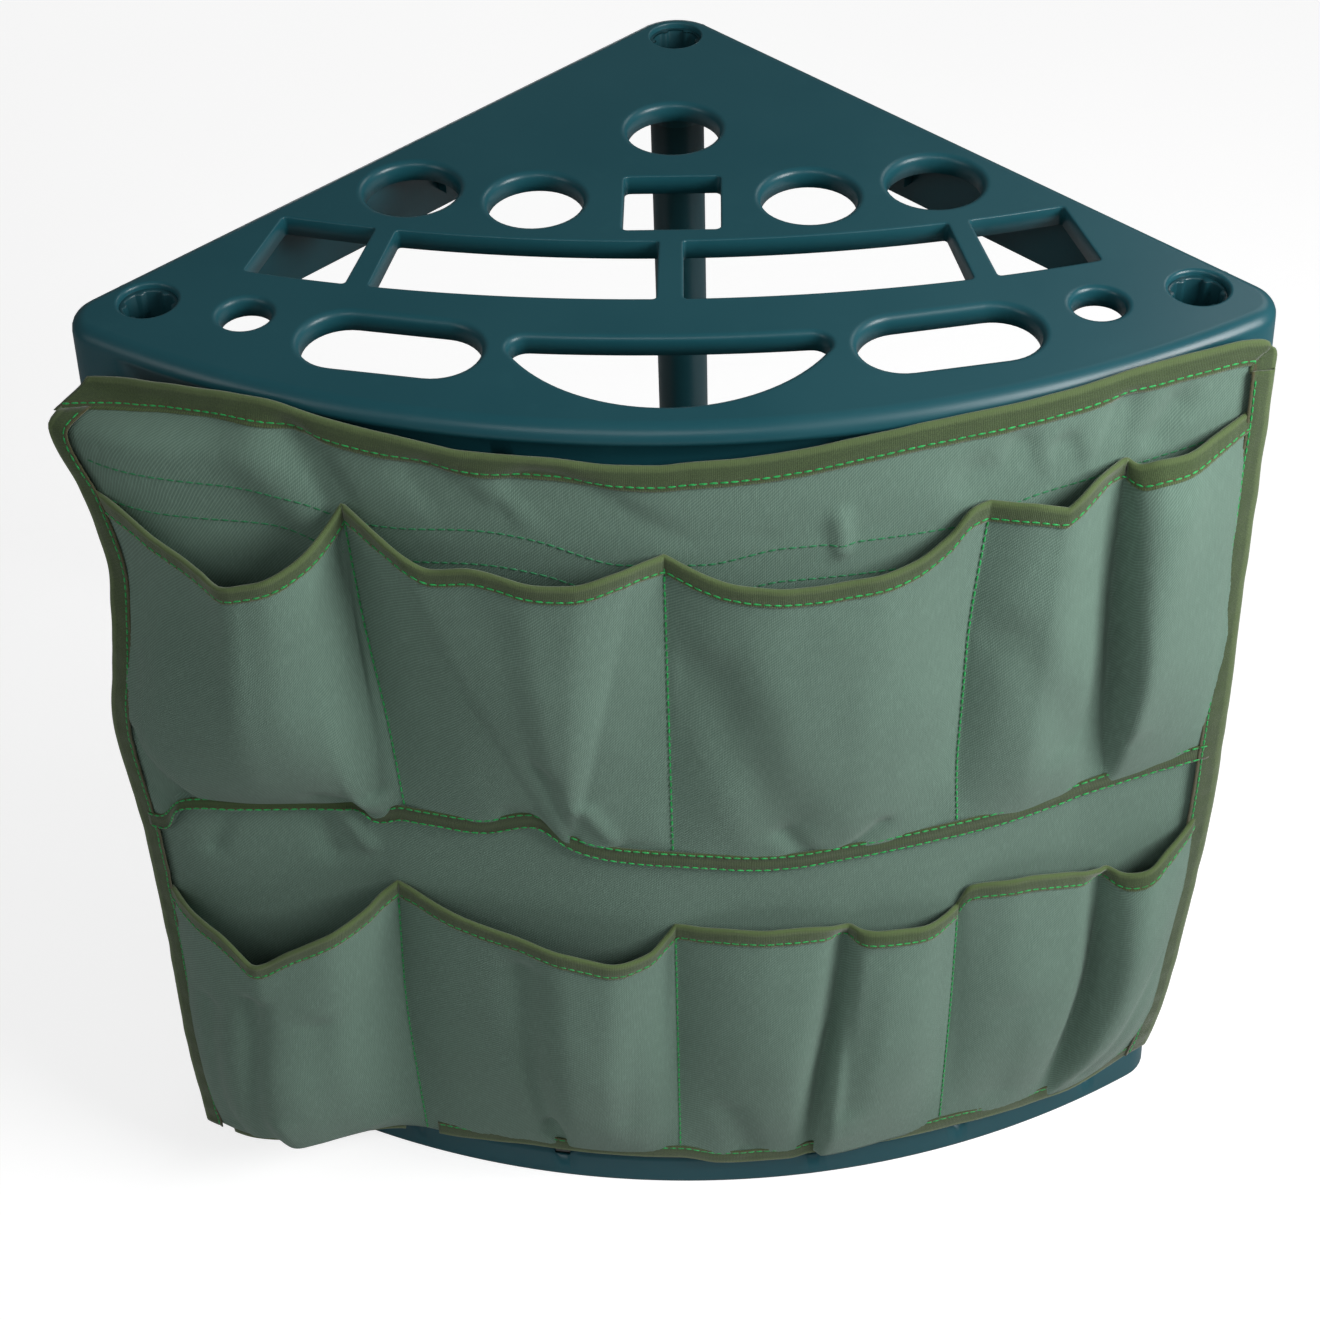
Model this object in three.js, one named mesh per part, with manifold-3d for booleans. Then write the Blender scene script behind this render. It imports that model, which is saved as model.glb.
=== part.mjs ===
// Freestanding corner tool rack: a slotted top tray and a base tray of one bowed plan, three
// ribbed tube posts between them, and a sewn cloth with two rows of pockets round the front.
// Millimetres, +Z up. The frame is drawn from the wall corner, with the bowed front towards -Y.
import * as THREE from "three";
import { mergeVertices } from "three/addons/utils/BufferGeometryUtils.js";
import Module from "manifold-3d";

const wasm = await Module();
wasm.setup();

// Whole rack
const rackHeight = 600;
const fitGap = 0.3; // clearance between two pieces that touch
const overrun = 1; // how far a cutting tool runs past the face it cuts
const weldTolerance = 0.001;

// Plan of both trays
const arcCentreDepth = 136.5; // the front arc's centre, behind the wall corner
const deckFrontRadius = 546;
const skirtFlare = 6; // the skirt's lower edge reaches this much further forward than the deck
const deckCornerRadius = 20;
const cornerFlare = 4;
const apexRadius = 28;

// Tray mouldings
const trayHeight = 50;
const deckThickness = 3;
const wallThickness = 3;
const rollRadius = 7;
const collarDepth = 11;
const collarWall = 2.5;
const recessDepth = 2;
const recessBottom = 20;
const recessTop = 40;
const recessHalfArc = 288;
const strapSlotWidth = 10;
const strapSlotHeight = 6;
const strapSlotArcs = [80, 176, 270]; // along the front arc, to both sides
const rearRibThickness = 2.5;
const rearRibReach = 7;
const rearRibHeight = 38;
const rearRibRuns = [95, 190, 345]; // along each wall side, from the wall corner

// Openings in the top deck, placed from the wall corner as shares of the deck's depth
const handleHoleRadius = 25.6;
const toolHoleRadius = 13.5;
const squareHoleHalf = 25.8;
const squareHoleRound = 3;
const slotSpineHalf = 6.6;
const holePlaceShares = {
  rearHandle: [0, -0.3394],
  innerHandle: [0.177, -0.5123],
  outerHandle: [0.3407, -0.4813],
  tool: [0.5187, -0.7607],
  square: [0, -0.5236],
  long: [0.3346, -0.8266],
  bow: [0, -0.735],
};
const slotShares = {
  arcCentre: 1.265,
  back: 1.878,
  front: 2.005,
  innerEnd: 0.364,
  outerStart: 0.393,
  outerEnd: 0.5226,
};
const longHoleShares = { half: 0.0574, radius: 0.055 }; // half of the straight stretch, end radius
const longHoleTilt = 11; // degrees
const bowHoleShares = { back: 2.0855, backHalf: 0.166, radius: 0.2198 }; // its back follows the slots
const bowHoleEndAngle = 30; // degrees

// Posts and their sockets
const postRadius = 16;
const postWall = 3.2;
const postRibWidth = 2;
const postRibHeight = 1.6;
const postRibCount = 6;
const postSideDistance = 25; // from a post's axis to the wall sides
const cornerPostShare = 0.643; // across the tray, as a share of the deck's depth
const socketWall = 2.7;
const socketFloor = 3;
const socketHoleRadius = 15;
const webThickness = 2.5;

// Base tray
const cupDepth = 14;
const cupFloor = 2;
const cupWall = 2;
const footStepHeight = 1.2;
const footStepArcs = [282, 300];
const footStepReach = 60;

// Cloth
const clothThickness = 1.2;
const clothStandoff = 3; // from the skirt's lower edge to the middle of the back panel
const clothHalfArc = 306;
const clothBottom = 28;
const clothTopDrop = 4; // below the deck, where the top edge lies highest
const topEdgeSag = 15;
const topEdgeSagReach = 200;
const cornerDroop = 20;
const cornerDroopReach = 40; // a reach is measured along the arc from the cloth's end
const leftPull = 34; // how far the loaded left edge stands out from the arc
const leftTuck = 18; // how far the left edge is drawn in below its folded-out corner
const leftTuckReach = 66;
const leftTuckPeakShare = 0.84;
const leftTuckFootShare = 0.66;
const leftTuckHeadShare = 0.98;
const leftFootDrop = 12;
const rightFootRise = 12;
const pullPower = 1.5;
const leftPullReach = 136;
const leftTopPullShare = 0.55;
const rightPull = 18;
const rightPullReach = 81;
const bindingWidth = 11;
const tapeThickness = 0.9;
const middleSeamShare = 0.51; // heights as shares of the cloth's own height
const upperMouthShare = 0.905;
const lowerMouthShare = 0.4;
const edgeFadePower = 3; // how fast the sag of an edge fades away from it
const rightMouthRise = 12; // the mouths climb towards the right edge
const bandTopDrop = 51; // from the cloth's top to the band's upper edge
const bandWidth = 24;
const pocketSeamArcs = [-161, -3, 157];
const pocketFullness = 40; // how far the fullest upper pocket's mouth stands out

// Strap tabs
const tabWidth = 8;
const tabThickness = 1.6;
const tabPatchHeight = 20;
const tabLap = 8;
const toggleLength = 15;
const toggleHeight = 4;
const toggleThickness = 3;
const toggleSlack = 3;

// Steps used along curved outlines
const frontSteps = 16;
const cornerSteps = 3;
const roundSteps = 16;
const rollSteps = 2;
const pocketSteps = 8;
const panelSteps = 4;

const deckDepth = deckFrontRadius - arcCentreDepth;
const skirtFrontRadius = deckFrontRadius + skirtFlare;
const skirtCornerRadius = deckCornerRadius + cornerFlare;
const clothRadius = skirtFrontRadius + clothStandoff;
const clothTop = rackHeight - clothTopDrop;

const teal = new THREE.MeshStandardMaterial({ color: 0x24505a, roughness: 0.45, metalness: 0 });
const darkTeal = new THREE.MeshStandardMaterial({ color: 0x1c3c45, roughness: 0.5, metalness: 0 });
const canvas = new THREE.MeshStandardMaterial({ color: 0x5b7366, roughness: 0.95, metalness: 0 });
const olive = new THREE.MeshStandardMaterial({ color: 0x55693a, roughness: 0.95, metalness: 0 });
const webbing = new THREE.MeshStandardMaterial({ color: 0x3f4d3a, roughness: 0.9, metalness: 0 });
const togglePlastic = new THREE.MeshStandardMaterial({ color: 0x26302f, roughness: 0.5, metalness: 0 });

// Turns a closed geometry into a solid for joining and cutting.
function toSolid(geometry) {
  const bare = new THREE.BufferGeometry();
  bare.setAttribute("position", geometry.getAttribute("position"));
  bare.setIndex(geometry.index);
  const welded = mergeVertices(bare, weldTolerance);
  return new wasm.Manifold(
    new wasm.Mesh({
      numProp: 3,
      vertProperties: welded.attributes.position.array,
      triVerts: new Uint32Array(welded.index.array),
    }),
  );
}

function toGeometry(solid) {
  const mesh = solid.getMesh();
  const geometry = new THREE.BufferGeometry();
  geometry.setAttribute("position", new THREE.BufferAttribute(mesh.vertProperties, mesh.numProp));
  geometry.setIndex(new THREE.BufferAttribute(mesh.triVerts, 1));
  const faceted = geometry.toNonIndexed();
  faceted.computeVertexNormals();
  return faceted;
}

const join = (solids) => solids.reduce((whole, next) => whole.add(next));
const cut = (body, tools) => tools.reduce((whole, tool) => whole.subtract(tool), body);

// A solid through level outlines, each { points, z }, from the lowest to the highest.
function stack(levels) {
  const count = levels[0].points.length;
  const position = levels.flatMap(({ points, z }) => points.flatMap((p) => [p.x, p.y, z]));
  const index = [];
  for (let level = 0; level + 1 < levels.length; level++) {
    for (let i = 0; i < count; i++) {
      const a = level * count + i;
      const b = level * count + ((i + 1) % count);
      index.push(a, b, b + count, a, b + count, a + count);
    }
  }
  const lid = (points, start, up) => {
    for (const [a, b, c] of THREE.ShapeUtils.triangulateShape(points, [])) {
      index.push(...(up ? [start + a, start + b, start + c] : [start + c, start + b, start + a]));
    }
  };
  lid(levels[0].points, 0, false);
  lid(levels.at(-1).points, count * (levels.length - 1), true);
  const geometry = new THREE.BufferGeometry();
  geometry.setAttribute("position", new THREE.Float32BufferAttribute(position, 3));
  geometry.setIndex(index);
  return toSolid(geometry);
}

function prism(points, bottom, top) {
  return stack([
    { points, z: bottom },
    { points, z: top },
  ]);
}

// Points on an arc, both ends included, from one angle to another.
function arc(x, y, radius, from, to, steps) {
  return Array.from({ length: steps + 1 }, (_, i) => {
    const angle = from + ((to - from) * i) / steps;
    return new THREE.Vector2(x + radius * Math.cos(angle), y + radius * Math.sin(angle));
  });
}

function circle([x, y], radius, steps = roundSteps) {
  return arc(x, y, radius, 0, 2 * Math.PI, steps).slice(0, -1);
}

const mirrorX = (points) => points.map((p) => new THREE.Vector2(-p.x, p.y)).reverse();
const bothSides = (points) => [points, mirrorX(points)];

// A box that stands on a plan line: from a start point, along an angle, with its width centred.
function plank(x, y, angle, length, width, bottom, top) {
  const along = new THREE.Vector2(Math.cos(angle), Math.sin(angle));
  const across = new THREE.Vector2(-along.y, along.x).multiplyScalar(width / 2);
  const start = new THREE.Vector2(x, y);
  const end = start.clone().addScaledVector(along, length);
  const corners = [
    start.clone().sub(across),
    end.clone().sub(across),
    end.clone().add(across),
    start.clone().add(across),
  ];
  return prism(corners, bottom, top);
}

// The trays' plan: two wall sides at 90 degrees, a bowed front, and three rounded corners.
function trayOutline(frontRadius, cornerRadius, inset) {
  const lean = Math.SQRT2 * cornerRadius + arcCentreDepth;
  const reach = frontRadius - cornerRadius;
  const cornerX = (Math.sqrt(2 * reach * reach - lean * lean) - lean) / 2;
  const cornerY = -Math.SQRT2 * cornerRadius - cornerX;
  const sweep = Math.atan2(cornerX, arcCentreDepth - cornerY);
  const down = -Math.PI / 2;
  const right = arc(cornerX, cornerY, cornerRadius - inset, down + sweep, Math.PI / 4, cornerSteps);
  const apex = arc(
    0,
    -Math.SQRT2 * apexRadius,
    apexRadius - inset,
    Math.PI / 4,
    (3 * Math.PI) / 4,
    2 * cornerSteps,
  );
  const front = arc(0, arcCentreDepth, frontRadius - inset, down - sweep, down + sweep, frontSteps);
  return [...right, ...apex, ...mirrorX(right), ...front.slice(1, -1)];
}

// Radius of the tray's front at a height above the skirt's lower edge.
const frontRadiusAt = (height) => skirtFrontRadius - (skirtFlare * height) / trayHeight;
const cornerRadiusAt = (height) => skirtCornerRadius - (cornerFlare * height) / trayHeight;

function outlineAt(height, inset) {
  return trayOutline(frontRadiusAt(height), cornerRadiusAt(height), inset);
}

// The ring sector between two radii of the front arc, out to a half arc length on both sides.
function frontSector(inner, outer, fromArc, toArc, steps) {
  const down = -Math.PI / 2;
  const from = down + fromArc / skirtFrontRadius;
  const to = down + toArc / skirtFrontRadius;
  return [
    ...arc(0, arcCentreDepth, outer, from, to, steps),
    ...arc(0, arcCentreDepth, inner, to, from, steps),
  ];
}

const strapArcs = [...strapSlotArcs.map((s) => -s).reverse(), ...strapSlotArcs];

// The tray's outer form, filled, with its rolled edge.
const rollStart = trayHeight - rollRadius;
function trayForm() {
  const roll = Array.from({ length: rollSteps }, (_, i) => {
    const angle = ((i + 1) / rollSteps) * (Math.PI / 2);
    const height = rollStart + rollRadius * Math.sin(angle);
    return { points: outlineAt(height, rollRadius * (1 - Math.cos(angle))), z: height };
  });
  return stack([
    { points: outlineAt(0, 0), z: 0 },
    { points: outlineAt(rollStart, 0), z: rollStart },
    ...roll,
  ]);
}

// Deck and skirt as one thin moulding with the strap recess, its slots and the rear ribs.
function trayShell() {
  const ceiling = trayHeight - deckThickness;
  const inside = stack([
    { points: outlineAt(-overrun, wallThickness), z: -overrun },
    { points: outlineAt(rollStart, wallThickness), z: rollStart },
    { points: outlineAt(ceiling, rollRadius), z: ceiling },
  ]);
  const sector = (height) => ({
    points: frontSector(
      frontRadiusAt(height) - recessDepth,
      frontRadiusAt(height) + recessDepth,
      -recessHalfArc,
      recessHalfArc,
      frontSteps,
    ),
    z: height,
  });
  const backing = (height) => ({
    points: frontSector(
      frontRadiusAt(height) - recessDepth - wallThickness,
      frontRadiusAt(height) - wallThickness / 2,
      -recessHalfArc,
      recessHalfArc,
      frontSteps,
    ),
    z: height,
  });
  const recess = stack([sector(recessBottom), sector(recessTop)]);
  const recessBacking = stack([backing(recessBottom - recessDepth), backing(recessTop + recessDepth)]);
  const slots = strapArcs.map((s) =>
    prism(
      frontSector(
        frontRadiusAt(recessBottom) - recessDepth - 2 * wallThickness,
        frontRadiusAt(recessBottom) + wallThickness,
        s - strapSlotWidth / 2,
        s + strapSlotWidth / 2,
        1,
      ),
      recessBottom - strapSlotHeight / 2,
      recessBottom + strapSlotHeight / 2,
    ),
  );
  const ribs = rearRibRuns.flatMap((run) =>
    [-1, 1].map((side) => {
      const x = (side * (run - wallThickness / 2)) / Math.SQRT2;
      const y = -(run + wallThickness / 2) / Math.SQRT2;
      const inward = -Math.PI / 2 - (side * Math.PI) / 4;
      return plank(
        x,
        y,
        inward,
        rearRibReach + wallThickness / 2,
        rearRibThickness,
        trayHeight - rearRibHeight,
        ceiling + deckThickness / 2,
      );
    }),
  );
  return cut(join([trayForm().subtract(inside), recessBacking, ...ribs]), [recess, ...slots]);
}

const onDeck = (shares) => shares.map((share) => share * deckDepth);

// Each opening of the top deck as a function of how far its edge is moved out.
function sector(fromShare, toShare, grow) {
  const [centre, back, front] = onDeck([slotShares.arcCentre, slotShares.back, slotShares.front]);
  const [from, to] = onDeck([fromShare, toShare]);
  const middle = (back + front) / 2;
  const down = -Math.PI / 2;
  const start = down + (Math.max(from, slotSpineHalf) - grow) / middle;
  const end = down + (to + grow) / middle;
  const steps = Math.ceil(((end - start) * middle) / (2 * front - 2 * back));
  return [
    ...arc(0, centre, front + grow, start, end, steps),
    ...arc(0, centre, back - grow, end, start, steps),
  ];
}

function longHole(grow) {
  const [x, y] = onDeck(holePlaceShares.long);
  const [half, radius] = onDeck([longHoleShares.half, longHoleShares.radius]);
  const tilt = THREE.MathUtils.degToRad(longHoleTilt);
  const dx = half * Math.cos(tilt);
  const dy = half * Math.sin(tilt);
  const steps = roundSteps / 2;
  return [
    ...arc(x + dx, y + dy, radius + grow, tilt - Math.PI / 2, tilt + Math.PI / 2, steps),
    ...arc(x - dx, y - dy, radius + grow, tilt + Math.PI / 2, tilt + 1.5 * Math.PI, steps),
  ];
}

function bowHole(grow) {
  const [x, y] = onDeck(holePlaceShares.bow);
  const [centre, back, half, radius] = onDeck([
    slotShares.arcCentre,
    bowHoleShares.back,
    bowHoleShares.backHalf,
    bowHoleShares.radius,
  ]);
  const end = THREE.MathUtils.degToRad(bowHoleEndAngle);
  const sweep = Math.asin((half + grow) / back);
  const down = -Math.PI / 2;
  return [
    ...arc(x, y, radius + grow, end - Math.PI, -end, roundSteps / 2),
    ...arc(0, centre, back - grow, down + sweep, down - sweep, 6),
  ];
}

function squareHole(grow) {
  const [x, y] = onDeck(holePlaceShares.square);
  const round = squareHoleRound + grow;
  const half = squareHoleHalf - squareHoleRound;
  return [0, 1, 2, 3].flatMap((turn) => {
    const angle = (turn * Math.PI) / 2;
    const sign = [
      [1, 1],
      [-1, 1],
      [-1, -1],
      [1, -1],
    ][turn];
    return arc(x + sign[0] * half, y + sign[1] * half, round, angle, angle + Math.PI / 2, 2);
  });
}

const deckOpenings = [
  (grow) => [circle(onDeck(holePlaceShares.rearHandle), handleHoleRadius + grow)],
  (grow) => bothSides(circle(onDeck(holePlaceShares.innerHandle), handleHoleRadius + grow)),
  (grow) => bothSides(circle(onDeck(holePlaceShares.outerHandle), handleHoleRadius + grow)),
  (grow) => bothSides(circle(onDeck(holePlaceShares.tool), toolHoleRadius + grow)),
  (grow) => [squareHole(grow)],
  (grow) => bothSides(sector(0, slotShares.innerEnd, grow)),
  (grow) => bothSides(sector(slotShares.outerStart, slotShares.outerEnd, grow)),
  (grow) => bothSides(longHole(grow)),
  (grow) => [bowHole(grow)],
];

const cornerPostX = cornerPostShare * deckDepth;
const cornerPostY = -(cornerPostX + Math.SQRT2 * postSideDistance);
const posts = [
  { name: "post_left", at: [-cornerPostX, cornerPostY], webs: [Math.PI * 0.75, -Math.PI * 0.6] },
  { name: "post_right", at: [cornerPostX, cornerPostY], webs: [Math.PI * 0.25, -Math.PI * 0.4] },
  { name: "post_rear", at: [0, -Math.SQRT2 * postSideDistance], webs: [Math.PI * 0.25, Math.PI * 0.75] },
];
const socketRadius = postRadius + fitGap + socketWall;

// Webs that tie a post socket to the skirt beside it.
function socketWebs({ at, webs }, bottom, top) {
  const planks = webs.map((angle) =>
    plank(at[0], at[1], angle, 2 * postSideDistance, webThickness, bottom, top),
  );
  return join(planks).intersect(trayForm());
}

function topTray() {
  const ceiling = trayHeight - deckThickness;
  const collars = deckOpenings.flatMap((opening) =>
    opening(collarWall).map((points) => prism(points, trayHeight - collarDepth, ceiling + deckThickness / 2)),
  );
  const sockets = posts.map(({ at }) => prism(circle(at, socketRadius), 0, ceiling + deckThickness / 2));
  const webs = posts.map((post) => socketWebs(post, trayHeight / 3, ceiling + deckThickness / 2));
  const holes = deckOpenings.flatMap((opening) =>
    opening(0).map((points) => prism(points, -overrun, trayHeight + overrun)),
  );
  const bores = posts.map(({ at }) => prism(circle(at, postRadius + fitGap), -overrun, ceiling));
  const mouths = posts.map(({ at }) => prism(circle(at, socketHoleRadius), 0, trayHeight + overrun));
  return cut(join([trayShell(), ...collars, ...sockets, ...webs]), [...holes, ...bores, ...mouths]);
}

// Round cups under the handle holes hold the lower ends of the handles.
function baseTray() {
  const ceiling = trayHeight - deckThickness;
  const { rearHandle, innerHandle, outerHandle, tool } = holePlaceShares;
  const places = [
    ...[rearHandle, innerHandle, outerHandle].map((shares) => [onDeck(shares), handleHoleRadius]),
    [onDeck(tool), toolHoleRadius],
  ].flatMap(([[x, y], radius]) => (x ? [[[x, y], radius], [[-x, y], radius]] : [[[x, y], radius]]));
  const bottom = trayHeight - cupDepth;
  const cups = places.map(([at, radius]) =>
    prism(circle(at, radius + cupWall), bottom - cupFloor, ceiling + deckThickness / 2),
  );
  const wells = places.map(([at, radius]) => prism(circle(at, radius), bottom, trayHeight + overrun));
  const sockets = posts.map(({ at }) => prism(circle(at, socketRadius), 0, ceiling + deckThickness / 2));
  const webs = posts.map((post) => socketWebs(post, trayHeight / 3, ceiling + deckThickness / 2));
  const bores = posts.map(({ at }) =>
    prism(circle(at, postRadius + fitGap), socketFloor, trayHeight + overrun),
  );
  const steps = footStepArcs.flatMap((start, i) => {
    const inner = skirtFrontRadius - footStepReach;
    const outer = skirtFrontRadius + footStepReach;
    return bothSides(frontSector(inner, outer, start, start + footStepReach, 2)).map((points) =>
      prism(points, -overrun, (i + 1) * footStepHeight),
    );
  });
  const pads = posts.map(({ at }) => prism(circle(at, socketRadius), 0, socketFloor));
  const body = cut(join([trayShell(), ...cups, ...sockets, ...webs]), [...wells, ...bores, ...steps]);
  return join([body, ...pads]);
}

// A tube with ribs down its bore.
function post() {
  const bore = postRadius - postWall;
  const shape = new THREE.Shape(circle([0, 0], postRadius, 24));
  const half = postRibWidth / 2 / bore;
  const points = [];
  for (let i = 0; i < postRibCount; i++) {
    const angle = (2 * Math.PI * i) / postRibCount;
    const next = (2 * Math.PI * (i + 1)) / postRibCount;
    points.push(...arc(0, 0, bore - postRibHeight, angle - half, angle + half, 1));
    points.push(...arc(0, 0, bore, angle + half, next - half, 3));
  }
  shape.holes.push(new THREE.Path(points));
  const bottom = socketFloor + fitGap;
  const top = rackHeight - deckThickness - fitGap;
  const geometry = new THREE.ExtrudeGeometry(shape, { depth: top - bottom, bevelEnabled: false });
  return geometry.translate(0, 0, bottom);
}

// The cloth is drawn over the front arc: s runs along the arc, v from its lower edge to its top.
const clamp = THREE.MathUtils.clamp;
const bump = (t) => Math.sin(Math.PI * clamp(t, 0, 1));
const endShare = (distance, reach) => clamp((distance - clothHalfArc) / reach + 1, 0, 1);

function topEdge(s) {
  const reach = clamp(Math.abs(s) / topEdgeSagReach, 0, 1);
  const sag = topEdgeSag * Math.cos((reach * Math.PI) / 2) ** 2;
  return clothTop - sag - cornerDroop * endShare(-s, cornerDroopReach) ** 2;
}

function bottomEdge(s) {
  const drop = leftFootDrop * endShare(-s, leftPullReach);
  return clothBottom - drop + rightFootRise * endShare(s, rightPullReach);
}

function clothHeightAt(s, v) {
  const foot = (bottomEdge(s) - clothBottom) * Math.max(1 - v, 0) ** edgeFadePower;
  const head = (topEdge(s) - clothTop) * Math.max(v, 0) ** edgeFadePower;
  return clothBottom + v * (clothTop - clothBottom) + foot + head;
}

function clothPull(s, v) {
  const left = endShare(-s, leftPullReach) ** pullPower;
  const right = endShare(s, rightPullReach) ** pullPower;
  const topShare = Math.max((v - upperMouthShare) / (1 - upperMouthShare), 0);
  return left * leftPull * (1 - topShare * (1 - leftTopPullShare)) + right * rightPull * (1 - v);
}

// The place along the arc, drawn in at the left edge below its folded-out corner.
function clothArc(s, v) {
  const below = (v - leftTuckFootShare) / (leftTuckPeakShare - leftTuckFootShare);
  const above = (leftTuckHeadShare - v) / (leftTuckHeadShare - leftTuckPeakShare);
  return s + leftTuck * endShare(-s, leftTuckReach) * clamp(Math.min(below, above), 0, 1);
}

function onCloth(s, height, out) {
  const angle = s / clothRadius;
  const radius = clothRadius + out;
  return new THREE.Vector3(radius * Math.sin(angle), arcCentreDepth - radius * Math.cos(angle), height);
}

const panelPoint = (s, v) => onCloth(clothArc(s, v), clothHeightAt(s, v), clothPull(s, v));

const sideInset = tapeThickness + fitGap;
const panelHalfArc = clothHalfArc - sideInset;
const trimHalfArc = clothHalfArc - bindingWidth - fitGap;
const mouthHalfArc = trimHalfArc - bindingWidth / 2;
const edgeShare = (length) => length / (clothTop - clothBottom);
const layerStep = clothThickness + fitGap;
const pocketEdges = [-trimHalfArc, ...pocketSeamArcs, trimHalfArc];

// Places along the arc where every sheet bends, kept alike so that layers stay clear of each other.
function arcStations(from, to) {
  const inner = pocketEdges.slice(1).flatMap((edge, k) => {
    const start = pocketEdges[k];
    return Array.from({ length: pocketSteps }, (_, i) => start + ((edge - start) * i) / pocketSteps);
  });
  const all = [...inner, -mouthHalfArc, mouthHalfArc, trimHalfArc].sort((a, b) => a - b);
  return [from, ...all.filter((s) => s > from + fitGap && s < to - fitGap), to];
}

// A sheet of even thickness whose middle is place(s, b) at the given stations.
function sheet(place, along, up, thickness, lift = 0) {
  const nudge = 1 / 512;
  const position = [];
  const index = [];
  for (const side of [1, -1]) {
    for (const b of up) {
      for (const s of along) {
        const alongS = place(s + nudge * thickness, b).sub(place(s - nudge * thickness, b));
        const alongB = place(s, b + nudge).sub(place(s, b - nudge));
        const normal = alongS.cross(alongB).normalize();
        const point = place(s, b).addScaledVector(normal, lift + (side * thickness) / 2);
        position.push(point.x, point.y, point.z);
      }
    }
  }
  const row = along.length;
  const layer = row * up.length;
  const across = row - 1;
  const last = up.length - 1;
  for (let j = 0; j < last; j++) {
    for (let i = 0; i < across; i++) {
      const a = j * row + i;
      const b = a + layer;
      index.push(a, a + 1, a + row + 1, a, a + row + 1, a + row);
      index.push(b, b + row + 1, b + 1, b, b + row, b + row + 1);
    }
  }
  const wall = (a, b) => index.push(a, a + layer, b + layer, a, b + layer, b);
  for (let i = 0; i < across; i++) {
    wall(i, i + 1);
    wall(last * row + i + 1, last * row + i);
  }
  for (let j = 0; j < last; j++) {
    wall((j + 1) * row, j * row);
    wall(j * row + across, (j + 1) * row + across);
  }
  const geometry = new THREE.BufferGeometry();
  geometry.setAttribute("position", new THREE.Float32BufferAttribute(position, 3));
  geometry.setIndex(index);
  return toSolid(geometry);
}

const evenSteps = (from, to, steps) =>
  Array.from({ length: steps + 1 }, (_, i) => from + ((to - from) * i) / steps);

// Every pocket, in shares of the fullness: how far its mouth stands out and sags, its belly and its
// hanging foot. Lean moves the mouth's lowest place to the right, and a pleat folds the mouth in.
const upperPocketShares = [
  { bulge: 1, sag: 0.6, belly: 0.65, lean: 1.6 },
  { bulge: 0.475, sag: 0.15, belly: 0.3, lean: 1.5 },
  { bulge: 0.35, sag: 0.175, belly: 0.25 },
  { bulge: 0.325, sag: 0.125, belly: 0.3, pleat: 0.54, pleatDepth: 0.85 },
];
const lowerPocketShares = [
  { bulge: 1.1, sag: 0.6, belly: 0.65, hang: 0.4, hangOut: 0.35 },
  { bulge: 0.55, sag: 0.2, belly: 0.35, lean: 2 },
  { bulge: 0.375, sag: 0.125, belly: 0.35, pleat: 0.58, pleatDepth: 0.6 },
  { bulge: 0.475, sag: 0.2, belly: 0.35, pleat: 0.6, pleatDepth: 0.8 },
];
const pleatWidthShare = 0.09;
const hangFoldShare = 0.12;
const hangReachShare = 0.6;
const plainRowShares = [0.12, 0.26, 0.45, 0.65, 0.83];
const tuckedRowShares = [0.12, 0.25, 0.6];

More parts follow.
